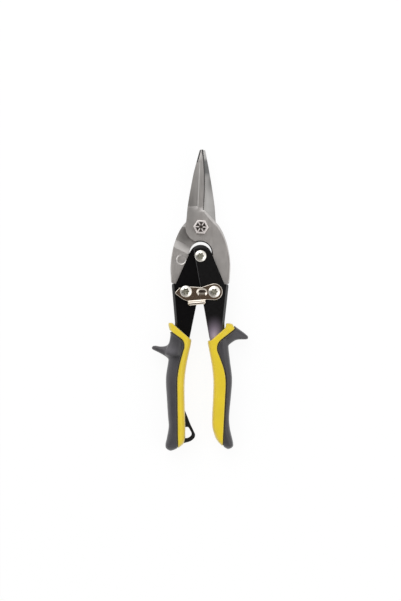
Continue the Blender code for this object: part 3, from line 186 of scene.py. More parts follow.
class BladeSettings(PropertyGroup):
    edge_round: FloatProperty(name="Edge round", description="Round of the blades' edges",
                              default=0.16 * MM, unit="LENGTH")
    jaw_step: FloatProperty(name="Jaw step", description="Fall from the boss to the jaw's face",
                            default=0.8 * MM, unit="LENGTH")
    step_start: FloatProperty(name="Step start", description="Main bolt to the foot of the jaw's step",
                              default=12.2 * MM, unit="LENGTH")
    step_end: FloatProperty(name="Step end", description="Main bolt to the end of the jaw's step",
                            default=17.0 * MM, unit="LENGTH")
    bevel: FloatProperty(name="Bevel width", description="Share of the full width of the bevels along the jaw",
                         default=1.0, subtype="FACTOR")
    spread: FloatProperty(name="Jaw spread", description="Width added along the jaw's back",
                          default=0.55 * MM, unit="LENGTH")
    front_nose: FloatProperty(name="Front nose", description="Width added at the front jaw's nose",
                              default=-0.3 * MM, unit="LENGTH")
    rear_nose: FloatProperty(name="Rear nose", description="Width added at the rear jaw's nose",
                             default=0.8 * MM, unit="LENGTH")
    hollow_bevel: FloatProperty(name="Hollow bevel", description="Width of the bevel round the hollow below the bolt",
                                default=0.9 * MM, unit="LENGTH")
    # The ridge's strip gets a painted highlight
    ridge: FloatProperty(name="Ridge", description="Half width of the worn ridge on the jaw",
                         default=0.4 * MM, unit="LENGTH")
    steel: FloatVectorProperty(name="Steel", description="Colour of the ground steel",
                               default=(0.52, 0.50, 0.485), subtype="COLOR")
    shear_face: FloatVectorProperty(name="Shear face", description="Colour of the finely ground cutting face",
                                    default=(0.56, 0.553, 0.543), subtype="COLOR")
    # Painted shade and dark reflection on the ground bevels and round the hollow
    bevel_steel_painted_dark: FloatVectorProperty(name="Bevel steel", description="Colour of the dark ground bevels",
                                     default=(0.085, 0.083, 0.081), subtype="COLOR")
    # Painted highlight on the jaw's ridge
    ridge_painted_highlight: FloatVectorProperty(name="Worn ridge", description="Colour of the worn ridge",
                                     default=(0.66, 0.65, 0.635), subtype="COLOR")


class FrameSettings(PropertyGroup):
    edge_round: FloatProperty(name="Edge round", description="Round of the sheet's sheared edges",
                              default=0.3 * MM, unit="LENGTH")
    fold: FloatProperty(name="Fold", description="Width of the soft fold along the outer side",
                        default=1.9 * MM, unit="LENGTH")
    inner_edge: FloatProperty(name="Inner edge", description="Width of the bevel along the inner side",
                              default=0.5 * MM, unit="LENGTH")
    # Painted highlight: the lighter coat on the folds and edges
    painted_light: FloatVectorProperty(name="Worn edges", description="Colour of the coat on folds and edges",
                              default=(0.008, 0.0078, 0.008), subtype="COLOR")
    coat: FloatVectorProperty(name="Coat", description="Colour of the black coat",
                              default=(0.0032, 0.0029, 0.0032), subtype="COLOR")
    # Painted reflection above the right grip
    painted_sheen: FloatVectorProperty(name="Sheen", description="Colour of the rubbed patch above the right grip",
                               default=(0.50, 0.41, 0.52), subtype="COLOR")


class FastenerSettings(PropertyGroup):
    head_height: FloatProperty(name="Head height", description="Height of the pan heads",
                               default=2.4 * MM, unit="LENGTH")
    head_round: FloatProperty(name="Head round", description="Round of the pan heads' rim",
                              default=0.9 * MM, unit="LENGTH")
    head_crown: FloatProperty(name="Head crown", description="Rise of the pan heads' dome",
                              default=1.0 * MM, unit="LENGTH")
    socket_radius: FloatProperty(name="Socket radius", description="Reach of the socket's six lobes",
                                 default=2.9 * MM, unit="LENGTH")
    socket_depth: FloatProperty(name="Socket depth", description="Depth of the six-lobed socket",
                                default=1.5 * MM, unit="LENGTH")
    flange: FloatProperty(name="Flange", description="Thickness of the posts' flanges",
                          default=2.2 * MM, unit="LENGTH")
    hexagon_turn: FloatProperty(name="Hexagon turn", description="Turn of the hexagon's first corner",
                                default=math.radians(-3), subtype="ANGLE")
    rib: FloatProperty(name="Rib", description="Half width of the bolt head's ribs",
                       default=0.5 * MM, unit="LENGTH")
    rim: FloatProperty(name="Rim", description="Width of the bolt head's rim",
                       default=0.9 * MM, unit="LENGTH")
    pocket_depth: FloatProperty(name="Pocket depth", description="Depth of the bolt head's pockets",
                                default=1.6 * MM, unit="LENGTH")
    nickel: FloatVectorProperty(name="Nickel", description="Colour of the plated screws",
                                default=(0.80, 0.77, 0.71), subtype="COLOR")
    bolt: FloatVectorProperty(name="Bolt", description="Colour of the plated bolt head",
                              default=(0.92, 0.86, 0.84), subtype="COLOR")
    zinc: FloatVectorProperty(name="Zinc", description="Colour of the zinc-plated pieces",
                              default=(0.55, 0.54, 0.52), subtype="COLOR")
    turn_steps: IntProperty(name="Turning steps", description="Facets round a turned piece", default=64)


class LatchSettings(PropertyGroup):
    edge_round: FloatProperty(name="Edge round", description="Round of the latch's polished edges",
                              default=0.55 * MM, unit="LENGTH")
    dimple: FloatProperty(name="Dimple", description="Place along the tool where the dimple's long slope ends",
                          default=-54.1 * MM, subtype="DISTANCE")
    plate: FloatVectorProperty(name="Plate", description="Colour of the polished plate",
                               default=(0.70, 0.64, 0.56), subtype="COLOR")


class SpringSettings(PropertyGroup):
    wire: FloatProperty(name="Wire", description="Diameter of the spring's wire", default=1.4 * MM, unit="LENGTH")
    coil_radius: FloatProperty(name="Coil radius", description="Radius of the coil at the wire's middle",
                               default=5.05 * MM, unit="LENGTH")
    pitch: FloatProperty(name="Pitch", description="Climb of the coil in a turn", default=1.9 * MM, unit="LENGTH")
    turns: FloatProperty(name="Turns", description="Turns of the coil", default=2.5)
    leg_drop: FloatProperty(name="Leg drop", description="Handle pivot to the legs' ends",
                            default=22.0 * MM, unit="LENGTH")
    leg_lean: FloatProperty(name="Leg lean", description="How far the legs lean in",
                            default=0.75 * MM, unit="LENGTH")
    steel: FloatVectorProperty(name="Wire colour", description="Colour of the drawn wire",
                               default=(0.38, 0.37, 0.36), subtype="COLOR")


class GripSettings(PropertyGroup):
    corner: FloatProperty(name="Corner", description="Share of the section's half width that is rounded",
                          default=0.64, subtype="FACTOR")
    section_step: FloatProperty(name="Section step", description="Distance between the pushed sections",
                                default=3.0 * MM, unit="LENGTH")
    body_grain: FloatProperty(name="Body voxel", description="Voxel that melts the guard into the grip",
                              default=0.55 * MM, unit="LENGTH")
    edge_grain: FloatProperty(name="Edge voxel", description="Voxel that rounds the moulded edges",
                              default=0.42 * MM, unit="LENGTH")
    groove: FloatProperty(name="Groove", description="Width of the groove along the colour border",
                          default=1.0 * MM, unit="LENGTH")
    groove_depth: FloatProperty(name="Groove depth", description="Depth of that groove",
                                default=1.2 * MM, unit="LENGTH")
    tongue_depth: FloatProperty(name="Tongue depth", description="Depth of the core's tongue under the cover",
                                default=2.1 * MM, unit="LENGTH")
    tongue_reach: FloatProperty(name="Tongue reach", description="How far the tongue runs under the cover",
                                default=2.5 * MM, unit="LENGTH")
    core: FloatVectorProperty(name="Core", description="Colour of the hard core",
                              default=(0.92, 0.685, 0.016), subtype="COLOR")
    cover: FloatVectorProperty(name="Cover", description="Colour of the soft cover",
                               default=(0.054, 0.051, 0.057), subtype="COLOR")
    loop_edge: FloatProperty(name="Loop edge", description="Round of the hang loop's edges",
                             default=0.7 * MM, unit="LENGTH")
    loop: FloatVectorProperty(name="Loop", description="Colour of the hang loop",
                              default=(0.012, 0.0115, 0.0125), subtype="COLOR")


class StageSettings(PropertyGroup):
    distance: FloatProperty(name="Camera distance", description="Shear plane to the camera",
                            default=2.6, unit="LENGTH")
    field: FloatProperty(name="Field", description="Height of the picture at the shear plane",
                         default=0.4983, unit="LENGTH")
    centre: FloatVectorProperty(name="Centre", description="Point in the middle of the picture",
                                default=(0.42 * MM, -60.86 * MM, SHEAR_LEVEL), subtype="XYZ")
    lean: FloatProperty(name="Lean", description="Roll of the camera", default=math.radians(0.72), subtype="ANGLE")
    sky: FloatProperty(name="Sky", description="Strength of the even light from all round", default=0.52,
                       subtype="FACTOR")
    key_power: FloatProperty(name="Key power", description="Power of the soft key lamp", default=10.0, unit="POWER")
    fill_power: FloatProperty(name="Fill power", description="Power of the soft fill lamp", default=3.0, unit="POWER")
    floor: FloatVectorProperty(name="Floor", description="Colour of the floor",
                               default=(0.88, 0.88, 0.88), subtype="COLOR")


def select_only(obj):
    """Makes one object the only selected one, and the active one."""
    bpy.ops.object.select_all(action="DESELECT")
    obj.select_set(True)
    bpy.context.view_layer.objects.active = obj


@contextmanager
def editing(obj, kind="FACE"):
    """Edit mode on one object, with everything in it selected."""
    select_only(obj)
    bpy.ops.object.mode_set(mode="EDIT")
    bpy.ops.mesh.select_mode(type=kind)
    bpy.ops.mesh.select_all(action="SELECT")
    yield
    bpy.ops.object.mode_set(mode="OBJECT")


def pick_faces(obj, wanted):
    """In edit mode, selects the faces whose centre and normal pass a test."""
    bpy.ops.mesh.select_all(action="DESELECT")
    bpy.ops.object.mode_set(mode="OBJECT")
    for face in obj.data.polygons:
        face.select = wanted(face.center, face.normal)
    bpy.ops.object.mode_set(mode="EDIT")


def pick_edges(obj, wanted):
    """In edit mode, selects the edges whose two ends pass a test."""
    bpy.ops.mesh.select_all(action="DESELECT")
    bpy.ops.object.mode_set(mode="OBJECT")
    points = obj.data.vertices
    for edge in obj.data.edges:
        edge.select = wanted(*(points[i].co for i in edge.vertices))
    bpy.ops.object.mode_set(mode="EDIT")


def start_piece(name, add, **where):
    """Adds a primitive with nothing else selected, its place in its mesh."""
    bpy.ops.object.select_all(action="DESELECT")
    add(**where)
    obj = bpy.context.active_object
    obj.name = obj.data.name = name
    bpy.ops.object.transform_apply(location=True, rotation=True, scale=True)
    return obj


def chain(name, points):
    """One vertex pushed along a row of points, as a chain of edges."""
    obj = start_piece(name, bpy.ops.mesh.primitive_plane_add, size=MM)
    with editing(obj, "VERT"):
        bpy.ops.mesh.merge(type="CENTER")
        bpy.ops.transform.translate(value=points[0])
        for here, there in zip(points, points[1:]):
            bpy.ops.mesh.extrude_region_move(TRANSFORM_OT_translate={"value": there - here})
    return obj


def slab(name, points, low, high):
    """A closed outline filled and pushed up into a block."""
    obj = chain(name, [Vector((p[0], p[1], low)) for p in points])
    with editing(obj, "VERT"):
        bpy.ops.mesh.edge_face_add()
        bpy.ops.mesh.extrude_region_move(TRANSFORM_OT_translate={"value": (0, 0, high - low)})
        face_outwards()
    return obj


def turned(name, profile, centre, steps):
    """A profile of (radius, level) points spun about the axis through a centre."""
    obj = chain(name, [Vector((centre[0] + radius, centre[1], level)) for radius, level in profile])
    with editing(obj, "VERT"):
        bpy.ops.mesh.spin(steps=steps, angle=math.tau, center=(centre[0], centre[1], 0), axis=(0, 0, 1))
        bpy.ops.mesh.select_all(action="SELECT")
        bpy.ops.mesh.remove_doubles(threshold=WELD)
        face_outwards()
    return obj


def face_outwards():
    """In edit mode, turns every face outwards."""
    bpy.ops.mesh.select_all(action="SELECT")
    bpy.ops.mesh.normals_make_consistent(inside=False)


def flat(points):
    """Places in millimetres as flat vectors in metres."""
    return [Vector(point) * MM for point in points]


def round_box(node):
    """Lowest and highest corner, middle and radius of a round CAD node."""
    low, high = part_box(node)
    return low, high, (low + high) / 2, (high.x - low.x) / 2


def arc(centre, radius, start, end, steps):
    """(radius, level) points along an arc of a profile, in degrees."""
    angles = [math.radians(start + (end - start) * i / steps) for i in range(steps + 1)]
    return [(centre[0] + radius * math.cos(a), centre[1] + radius * math.sin(a)) for a in angles]


def apply(obj, kind, **settings):
    """Adds a modifier, sets it and applies it."""
    modifier = obj.modifiers.new(kind.title(), kind)
    for name, value in settings.items():
        setattr(modifier, name, value)
    select_only(obj)
    bpy.ops.object.modifier_apply(modifier=modifier.name)


def boolean(obj, other, operation, keep=False):
    """Joins, cuts or crosses a piece with another, which goes unless it is kept."""
    apply(obj, "BOOLEAN", operation=operation, object=other, solver="EXACT")
    if not keep:
        bpy.data.objects.remove(other)


def round_edges(obj, width, segments, angle, clamp=True):
    """Rounds every edge that is sharper than an angle."""
    apply(obj, "BEVEL", width=width, segments=segments, limit_method="ANGLE", angle_limit=math.radians(angle),
          use_clamp_overlap=clamp)


def twin(obj, name):
    """A copy of a piece with its own mesh."""
    copy = bpy.data.objects.new(name, obj.data.copy())
    bpy.context.scene.collection.objects.link(copy)
    return copy


def smooth_by_angle(obj, angle=32):
    """Smooth shading up to an angle, led by the large faces so that they stay flat."""
    select_only(obj)
    bpy.ops.object.shade_smooth_by_angle(angle=math.radians(angle))
    apply(obj, "WEIGHTED_NORMAL", weight=80, keep_sharp=True)


def merged_copy(node, name):
    """A copy of a CAD node with its triangles welded and its flat faces whole."""
    obj = twin(frame["nodes"][node], name)
    select_only(obj)
    bpy.ops.mesh.customdata_custom_splitnormals_clear()
    with editing(obj):
        bpy.ops.mesh.remove_doubles(threshold=WELD)
        bpy.ops.mesh.select_all(action="SELECT")
        bpy.ops.mesh.dissolve_limited(angle_limit=math.radians(0.6))
        face_outwards()
    return obj


def hand_over(obj, body, slot, material, *nodes):
    """Finishes a piece: its material, the body it rides on and the CAD nodes it stands for."""
    obj.data.materials.clear()
    obj.data.materials.append(material)
    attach(obj, body)
    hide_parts(*nodes)


def second_material(obj, material, wanted):
    """A further material on the faces that pass a test."""
    obj.data.materials.append(material)
    for face in obj.data.polygons:
        if wanted(face):
            face.material_index = len(obj.data.materials) - 1


def dress_node(node, material):
    """Gives a CAD node that stays a better material."""
    mesh = frame["nodes"][node].data
    mesh.materials.clear()
    mesh.materials.append(material)


def smooth_value(points, at):
    """Height of a smooth curve through (place, height) points."""
    i = max(0, min(len(points) - 2, sum(p[0] <= at for p in points) - 1))
    (x0, y0), (x1, y1) = points[i], points[i + 1]
    span = x1 - x0
    t = (at - x0) / span
    slopes = []
    for j in (i, i + 1):
        low, high = points[max(j - 1, 0)], points[min(j + 1, len(points) - 1)]
        slopes.append((high[1] - low[1]) / (high[0] - low[0]) * span)
    return ((2 * t ** 3 - 3 * t * t + 1) * y0 + (t ** 3 - 2 * t * t + t) * slopes[0]
            + (3 * t * t - 2 * t ** 3) * y1 + (t ** 3 - t * t) * slopes[1])


def smooth_path(points, steps):
    """A smooth row of points through a few points, both ends included."""
    rows = [[(i, value) for i, value in enumerate(row)] for row in zip(*points)]
    count = (len(points) - 1) * steps
    return [tuple(smooth_value(row, i / steps) for row in rows) for i in range(count + 1)]


def bezier(a, b, c, d, steps):
    """Points along a cubic curve, both ends included."""
    points = []
    for i in range(steps + 1):
        t = i / steps
        s = 1 - t
        points.append(a * s ** 3 + b * (3 * s * s * t) + c * (3 * s * t * t) + d * t ** 3)
    return points


def pushed_form(name, corner, sections, normal, segments=7):
    """A rounded square pushed through sections of (centre, half sizes); normal is the axis of the push."""
    turn = {"Y": (math.pi / 2, 0, 0), "X": (0, math.pi / 2, 0)}[normal]
    form = start_piece(name, bpy.ops.mesh.primitive_plane_add, size=2.0, rotation=turn)
    centre, half = sections[0]
    with editing(form, "VERT"):
        bpy.ops.mesh.bevel(offset=corner, segments=segments, affect="VERTICES")
        bpy.ops.mesh.select_all(action="SELECT")
        bpy.ops.mesh.remove_doubles(threshold=WELD)
        bpy.ops.mesh.select_all(action="SELECT")
        bpy.ops.transform.resize(value=half, center_override=(0, 0, 0))
        bpy.ops.transform.translate(value=centre)
        bpy.ops.mesh.select_mode(type="FACE")
        bpy.ops.mesh.select_all(action="SELECT")
        for (before, was), (after, will) in zip(sections, sections[1:]):
            bpy.ops.mesh.extrude_region_move(TRANSFORM_OT_translate={"value": after - before})
            ratio = [b / a for a, b in zip(was, will)]
            bpy.ops.transform.resize(value=ratio, center_override=after)
        face_outwards()
    return form


def cut_wedge(obj, sections):
    """Cuts an edge off with a diamond pushed through sections of (centre, half sizes)."""
    boolean(obj, pushed_form("wedge", 1.0, sections, "Y", 1), "DIFFERENCE")


def share_along(place, span):
    """How far a place lies along a span, from 0 to 1."""
    start, end = span
    return max(0.0, min(1.0, (place - start) / (end - start)))


class Finish:
    """A Principled material whose nodes are added one by one, on the piece's Object coordinates."""

    def __init__(self, name):
        self.material = bpy.data.materials.new(name)
        self.material.use_nodes = True
        self.nodes = self.material.node_tree.nodes
        self.shader = self.nodes["Principled BSDF"]
        self.place = self.add("ShaderNodeTexCoord").outputs["Object"]

    def add(self, kind, **attributes):
        node = self.nodes.new(kind)
        for name, value in attributes.items():
            setattr(node, name, value)
        return node

    def link(self, source, target):
        self.material.node_tree.links.new(source, target)

    def set(self, **values):
        """Values that are the same all over, on the shader's own sockets."""
        for name, value in values.items():
            self.shader.inputs[name.replace("_", " ").title().replace("Ior", "IOR")].default_value = value

    def stretched(self, scale, turn=0.0):
        """The piece's coordinates scaled by axis, to draw a grain out along one way."""
        mapping = self.add("ShaderNodeMapping")
        mapping.inputs["Scale"].default_value = scale
        mapping.inputs["Rotation"].default_value[2] = turn
        self.link(self.place, mapping.inputs["Vector"])
        return mapping.outputs["Vector"]

    def noise(self, scale, detail, place=None):
        """An even cloudy pattern, or one drawn out by stretched coordinates."""
        node = self.add("ShaderNodeTexNoise")
        node.inputs["Scale"].default_value = scale
        node.inputs["Detail"].default_value = detail
        self.link(place or self.place, node.inputs["Vector"])
        return node.outputs["Fac"]

    def cells(self, scale):
        """A pattern of soft round cells."""
        node = self.add("ShaderNodeTexVoronoi", feature="SMOOTH_F1")
        node.inputs["Scale"].default_value = scale
        self.link(self.place, node.inputs["Vector"])
        return node.outputs["Distance"]

    def ranged(self, source, low, high, from_low=0.3, from_high=0.7):
        """A pattern's middle range stretched to run from a low to a high value."""
        node = self.add("ShaderNodeMapRange")
        for name, value in (("From Min", from_low), ("From Max", from_high), ("To Min", low), ("To Max", high)):
            node.inputs[name].default_value = value
        self.link(source, node.inputs["Value"])
        return node.outputs["Result"]

    def mixed(self, factor, first, second):
        """A colour between two, each a socket or three numbers."""
        node = self.add("ShaderNodeMix", data_type="RGBA")
        self.link(factor, node.inputs[0])
        for socket, colour in ((node.inputs[6], first), (node.inputs[7], second)):
            if isinstance(colour, bpy.types.NodeSocket):
                self.link(colour, socket)
            else:
                socket.default_value = (*colour, 1.0)
        return node.outputs[2]

    def tinted(self, source, colour, dark, light):
        """A colour that goes from a darker to a lighter shade of itself with a pattern."""
        shades = [[min(c * shade, 1.0) for c in colour] for shade in (dark, light)]
        return self.mixed(self.ranged(source, 0.0, 1.0), *shades)

    def patch(self, centre, reach):
        """One at a centre, fading out to an ellipsoid's reach."""
        mapping = self.add("ShaderNodeMapping", vector_type="TEXTURE")
        mapping.inputs["Location"].default_value = centre
        mapping.inputs["Scale"].default_value = reach
        self.link(self.place, mapping.inputs["Vector"])
        ball = self.add("ShaderNodeTexGradient", gradient_type="QUADRATIC_SPHERE")
        self.link(mapping.outputs["Vector"], ball.inputs["Vector"])
        return ball.outputs["Fac"]

    def colour(self, source):
        self.link(source, self.shader.inputs["Base Color"])

    def rough(self, source, low, high):
        self.link(self.ranged(source, low, high), self.shader.inputs["Roughness"])

    def bump(self, *layers):
        """Bumps of (pattern, height in metres, strength), one over another."""
        before = None
        for pattern, height, strength in layers:
            node = self.add("ShaderNodeBump")
            node.inputs["Distance"].default_value = height
            node.inputs["Strength"].default_value = strength
            self.link(pattern, node.inputs["Height"])
            if before:
                self.link(before, node.inputs["Normal"])
            before = node.outputs["Normal"]
        self.link(before, self.shader.inputs["Normal"])


def ground_steel(name, colour, *shades):
    """Satin ground steel with fine lines over a faint mottle, with painted shade at each of the shades' (centre,
    reach, full, share).
    """
    finish = Finish(name)
    finish.set(metallic=1.0)
    lines = finish.noise(1.0, 5.0, finish.stretched((2600, 70, 2600)))
    mottle = finish.noise(160, 4.0)
    pits = finish.noise(1900, 2.0)
    bright = finish.tinted(mottle, colour, 0.93, 1.06)
    # Painted shade: each patch mixes the steel towards a darker share of its colour
    for centre, reach, full, share in shades:
        painted_dark = finish.ranged(finish.patch(centre, reach), 0.0, 1.0, 0.0, full)
        bright = finish.mixed(painted_dark, bright, [share * c for c in colour])
    finish.colour(bright)
    finish.rough(lines, 0.33, 0.45)
    finish.bump((lines, 0.02 * MM, 0.25), (pits, 0.02 * MM, 0.15))
    return finish.material


def shear_face_steel(name, colour):
    """Finely ground cutting face: painted light makes it brightest along the edge, with painted shade at the back and
    a painted dark reflection before the nose.
    """
    finish = Finish(name)
    finish.set(metallic=1.0)
    lines = finish.noise(1.0, 5.0, finish.stretched((70, 3000, 70)))
    axes = finish.add("ShaderNodeSeparateXYZ")
    finish.link(finish.place, axes.inputs[0])
    # Painted light: lighter along the cutting edge, darker towards the jaw's back
    across = finish.ranged(axes.outputs["X"], 0.0, 1.0, 0.003, 0.012)
    painted_light = finish.mixed(across, [min(1.0, 1.22 * c) for c in colour], [0.86 * c for c in colour])
    painted_light = finish.mixed(finish.patch(*SHEAR_PAINTED_SHADE), painted_light, [0.32 * c for c in colour])
    painted_dark = finish.ranged(finish.patch(*SHEAR_PAINTED_REFLECTION), 0.0, 0.9, 0.0, 0.3)
    finish.colour(finish.mixed(painted_dark, painted_light, (0.2, 0.205, 0.205)))
    finish.rough(lines, 0.38, 0.5)
    finish.bump((lines, 0.012 * MM, 0.15))
    return finish.material


def nickel_plate(name, colour, low, high, scale=900, metal=1.0):
    """Bright plating with hairline scratches."""
    finish = Finish(name)
    finish.set(metallic=metal)
    haze = finish.noise(scale, 3.0)
    hairs = finish.noise(1.0, 4.0, finish.stretched((300, 5200, 300), math.radians(24)))
    finish.colour(finish.tinted(haze, colour, 0.95, 1.03))
    finish.rough(hairs, low, high)
    finish.bump((hairs, 0.008 * MM, 0.12), (haze, 0.02 * MM, 0.05))
    return finish.material


def socket_shade(name, colour):
    """Painted shade: dark metal at the bottom of sockets, pockets and the dimple."""
    finish = Finish(name)
    finish.set(metallic=1.0)
    blotches = finish.noise(1300, 4.0)
    finish.colour(finish.tinted(blotches, colour, 0.25, 1.6))
    finish.rough(blotches, 0.4, 0.6)
    finish.bump((blotches, 0.04 * MM, 0.3))
    return finish.material


def black_coat(name, colour, gloss, painted_sheen=None):
    """Semi-gloss black coat with a little orange peel; a painted reflection is given as (colour, centre, reach) of a
    soft patch.
    """
    finish = Finish(name)
    finish.set(specular_ior_level=gloss)
    peel = finish.noise(750, 2.0)
    dust = finish.noise(4200, 3.0)
    shade = finish.tinted(dust, colour, 0.85, 1.2)
    if painted_sheen:
        painted_reflection, centre, reach = painted_sheen
        shade = finish.mixed(finish.patch(centre, reach), shade, painted_reflection)
    finish.colour(shade)
    finish.rough(peel, 0.3, 0.42)
    finish.bump((peel, 0.05 * MM, 0.18), (dust, 0.008 * MM, 0.1))
    return finish.material


def moulded_plastic(name, colour):
    """Hard satin plastic with a fine spark-eroded grain."""
    finish = Finish(name)
    finish.set(sheen_weight=0.8, sheen_roughness=0.45)
    flow = finish.noise(55, 3.0)
    grain = finish.noise(3600, 3.0)
    finish.colour(finish.tinted(flow, colour, 0.95, 1.04))
    finish.rough(grain, 0.3, 0.42)
    finish.bump((grain, 0.03 * MM, 0.2))
    return finish.material


def soft_rubber(name, colour, *patches):
    """Overmoulded rubber with a pebbled grain; each patch is (centre, reach, share) of painted light where the share
    is above one and painted shade where it is below.
    """
    finish = Finish(name)
    finish.set(sheen_weight=0.3, sheen_roughness=0.4)
    pebbles = finish.cells(1500)
    bloom = finish.noise(70, 4.0)
    shade = finish.tinted(bloom, colour, 0.9, 1.12)
    for centre, reach, share in patches:
        shade = finish.mixed(finish.patch(centre, reach), shade, [share * c for c in colour])
    finish.colour(shade)
    finish.rough(bloom, 0.36, 0.48)
    finish.bump((pebbles, 0.06 * MM, 0.3))
    return finish.material


def drawn_wire(name, colour):
    """Spring wire with streaks from drawing."""
    finish = Finish(name)
    finish.set(metallic=1.0)
    streaks = finish.noise(1.0, 4.0, finish.stretched((500, 500, 4500)))
    finish.colour(finish.tinted(streaks, colour, 0.85, 1.1))
    finish.rough(streaks, 0.28, 0.42)
    finish.bump((streaks, 0.01 * MM, 0.2))
    return finish.material


class SNIPS_OT_blades(Operator):
    """Both blades: the forgings with a stepped jaw, ground bevels, rolled rims and ground faces"""
    bl_idname = "snips.blades"
    bl_label = "Blades"

    def execute(self, context):
        settings = context.scene.snips_blades
        # The front and rear steels carry painted shade: on the front jaw's flank and boss, and on the rear plate
        # beside the boss
        steels = {side: ground_steel(f"{side}_ground_steel", settings.steel, *shades)
                  for side, shades in BLADE_PAINTED_SHADES.items()}
        shear_steel = shear_face_steel("shear_face_steel", settings.shear_face)
        bevel_steel_painted_dark = ground_steel("bevel_steel_painted_dark", settings.bevel_steel_painted_dark)
        ridge_painted_highlight = ground_steel("ridge_painted_highlight", settings.ridge_painted_highlight)
        for (side, steel), out in zip(steels.items(), (1, -1)):
            blade = merged_copy(f"{side}_blade", f"{side}_blade_forging")
            self.step_jaw(blade, out, settings)
            self.press_stamp(blade, out)
            self.open_ridge(blade, out, settings)
            self.grind(blade, out, settings)
            round_edges(blade, settings.edge_round, 2, 30)
            smooth_by_angle(blade, 20)
            hand_over(blade, f"blade_{side}", "blade_steel", steel, f"{side}_blade")
            # The cutting face's steel carries painted light, painted shade and a painted dark reflection
            second_material(blade, shear_steel, lambda f: abs(f.center.z - SHEAR_LEVEL) < 0.2 * MM
                            and abs(f.normal.z) > LEVEL and f.center.y > 0)
            # Painted shade and dark reflection on the ground bevels along the jaw and round the hollow
            second_material(blade, bevel_steel_painted_dark, lambda f: 0.4 < abs(f.normal.z) < 0.9 and (
                f.center.y > THROAT and f.area > MM * MM and abs(f.normal.x) > 0.4
                or self.on_hollow(f.center, out, settings)))
            # Painted highlight on the ridge's strip
            second_material(blade, ridge_painted_highlight, lambda f: self.on_ridge(f, out, settings))
        return {"FINISHED"}

    def fall(self, y, settings):
        """How far the jaw's face lies below the boss at a place along the blade."""
        return settings.jaw_step * share_along(y, (settings.step_start, settings.step_end))

    def step_jaw(self, blade, out, settings):
        """Lowers the jaw's face below the boss, with a sloped step between them."""
        with editing(blade):
            for level in (0, settings.step_start, settings.step_end):
                bpy.ops.mesh.select_all(action="SELECT")
                bpy.ops.mesh.bisect(plane_co=(0, level, 0), plane_no=(0, 1, 0), threshold=WELD)
        for vertex in blade.data.vertices:
            if (vertex.co.z - SHEAR_LEVEL) * out > MM:
                vertex.co.z -= out * self.fall(vertex.co.y, settings)
            if out * (vertex.co.x - self.ridge_at(vertex.co.y, out)) < -0.5 * MM:
                vertex.co.x -= out * self.widening(vertex.co.y, out, settings)

    def widening(self, y, out, settings):
        """How far the jaw's back moves out at a place along the blade, with each nose as it was ground by hand."""
        ground = settings.front_nose if out > 0 else settings.rear_nose
        spread = settings.spread + (ground - settings.spread) * share_along(y, NOSE)
        return spread * share_along(y, JAW_ROOT)

    def press_stamp(self, blade, out):
        """Slopes the wall of the round stamp in the tail."""
        (x, y), floor, kept = STAMP
        middle, level = Vector((out * x, y)) * MM, SHEAR_LEVEL - out * floor * MM
        with editing(blade):
            pick_faces(blade, lambda c, n: abs(n.z) > LEVEL and (c.xy - middle).length < MM
                       and abs(c.z - level) < NEAR)
            bpy.ops.transform.resize(value=(kept, kept, 1), center_override=(*middle, level))

    def on_hollow(self, place, out, settings):
        """Whether a place lies on the bevel round the hollow."""
        (x, y), radius = HOLLOW
        half = settings.hollow_bevel / 2
        return abs((place.xy - Vector((out * x, y)) * MM).length - radius * MM - half) < half + 2 * NEAR

    def ridge_at(self, y, out):
        """Where the jaw's ridge runs at a place along the blade."""
        (x0, y0), (x1, y1) = RIDGE
        return out * (x0 + (x1 - x0) * (y / MM - y0) / (y1 - y0)) * MM

    def open_ridge(self, blade, out, settings):
        """Opens the jaw's ridge into a narrow strip, which gets a painted highlight."""
        with editing(blade, "EDGE"):
            pick_edges(blade, lambda a, b: min(a.y, b.y) > settings.step_end - MM
                       and (a.z - SHEAR_LEVEL) * out > MM
                       and all(abs(v.x - self.ridge_at(v.y, out)) < 0.2 * MM for v in (a, b)))
            bpy.ops.mesh.bevel(offset=settings.ridge, segments=1, affect="EDGES")

    def on_ridge(self, face, out, settings):
        """Whether a face is part of the strip with the painted highlight."""
        middle = face.center
        return (settings.step_end < middle.y and face.area > MM * MM and abs(face.normal.z) > 0.9
                and abs(middle.x - self.ridge_at(middle.y, out)) < 0.5 * settings.ridge)

    def grind(self, blade, out, settings):
        """Grinds the bevels along the jaw and rolls off the shoulder's and the tail's rims."""
        def wedge(path, face=1):
            sections = []
            for x, y, height, across, down in path:
                centre = Vector((out * x, y, out * face * height)) * MM + Vector((0, 0, SHEAR_LEVEL))
                centre.z -= out * face * self.fall(centre.y, settings)
                if x < 0:
                    centre.x -= out * self.widening(centre.y, out, settings)
                sections.append((centre, (across, 1.0, down)))
            cut_wedge(blade, sections)

        for path in (CUTTING_EDGE, NOSE_SIDE):
            wedge([(x, y, height, settings.bevel * wide * MM, BEVEL_SLOPE * settings.bevel * wide * MM)
                   for x, y, height, wide in path])
        for path, face in ((RIM, 1), (TAIL_RIM, -1)):
            wedge([(x, y, FACE_HEIGHT, across * MM, down * MM) for x, y, across, down in smooth_path(path, 3)], face)
        (x, y), radius = HOLLOW
        for face in (1, -1):
            level, wide = SHEAR_LEVEL + face * FACE_HEIGHT * MM, radius * MM + settings.hollow_bevel
            cone = [(0, level - face * settings.hollow_bevel), (radius * MM, level - face * settings.hollow_bevel),
                    (wide, level), (wide, level + face * MM), (0, level + face * MM)]
            boolean(blade, turned("hollow_cutter", cone, (out * x * MM, y * MM), 96), "DIFFERENCE")


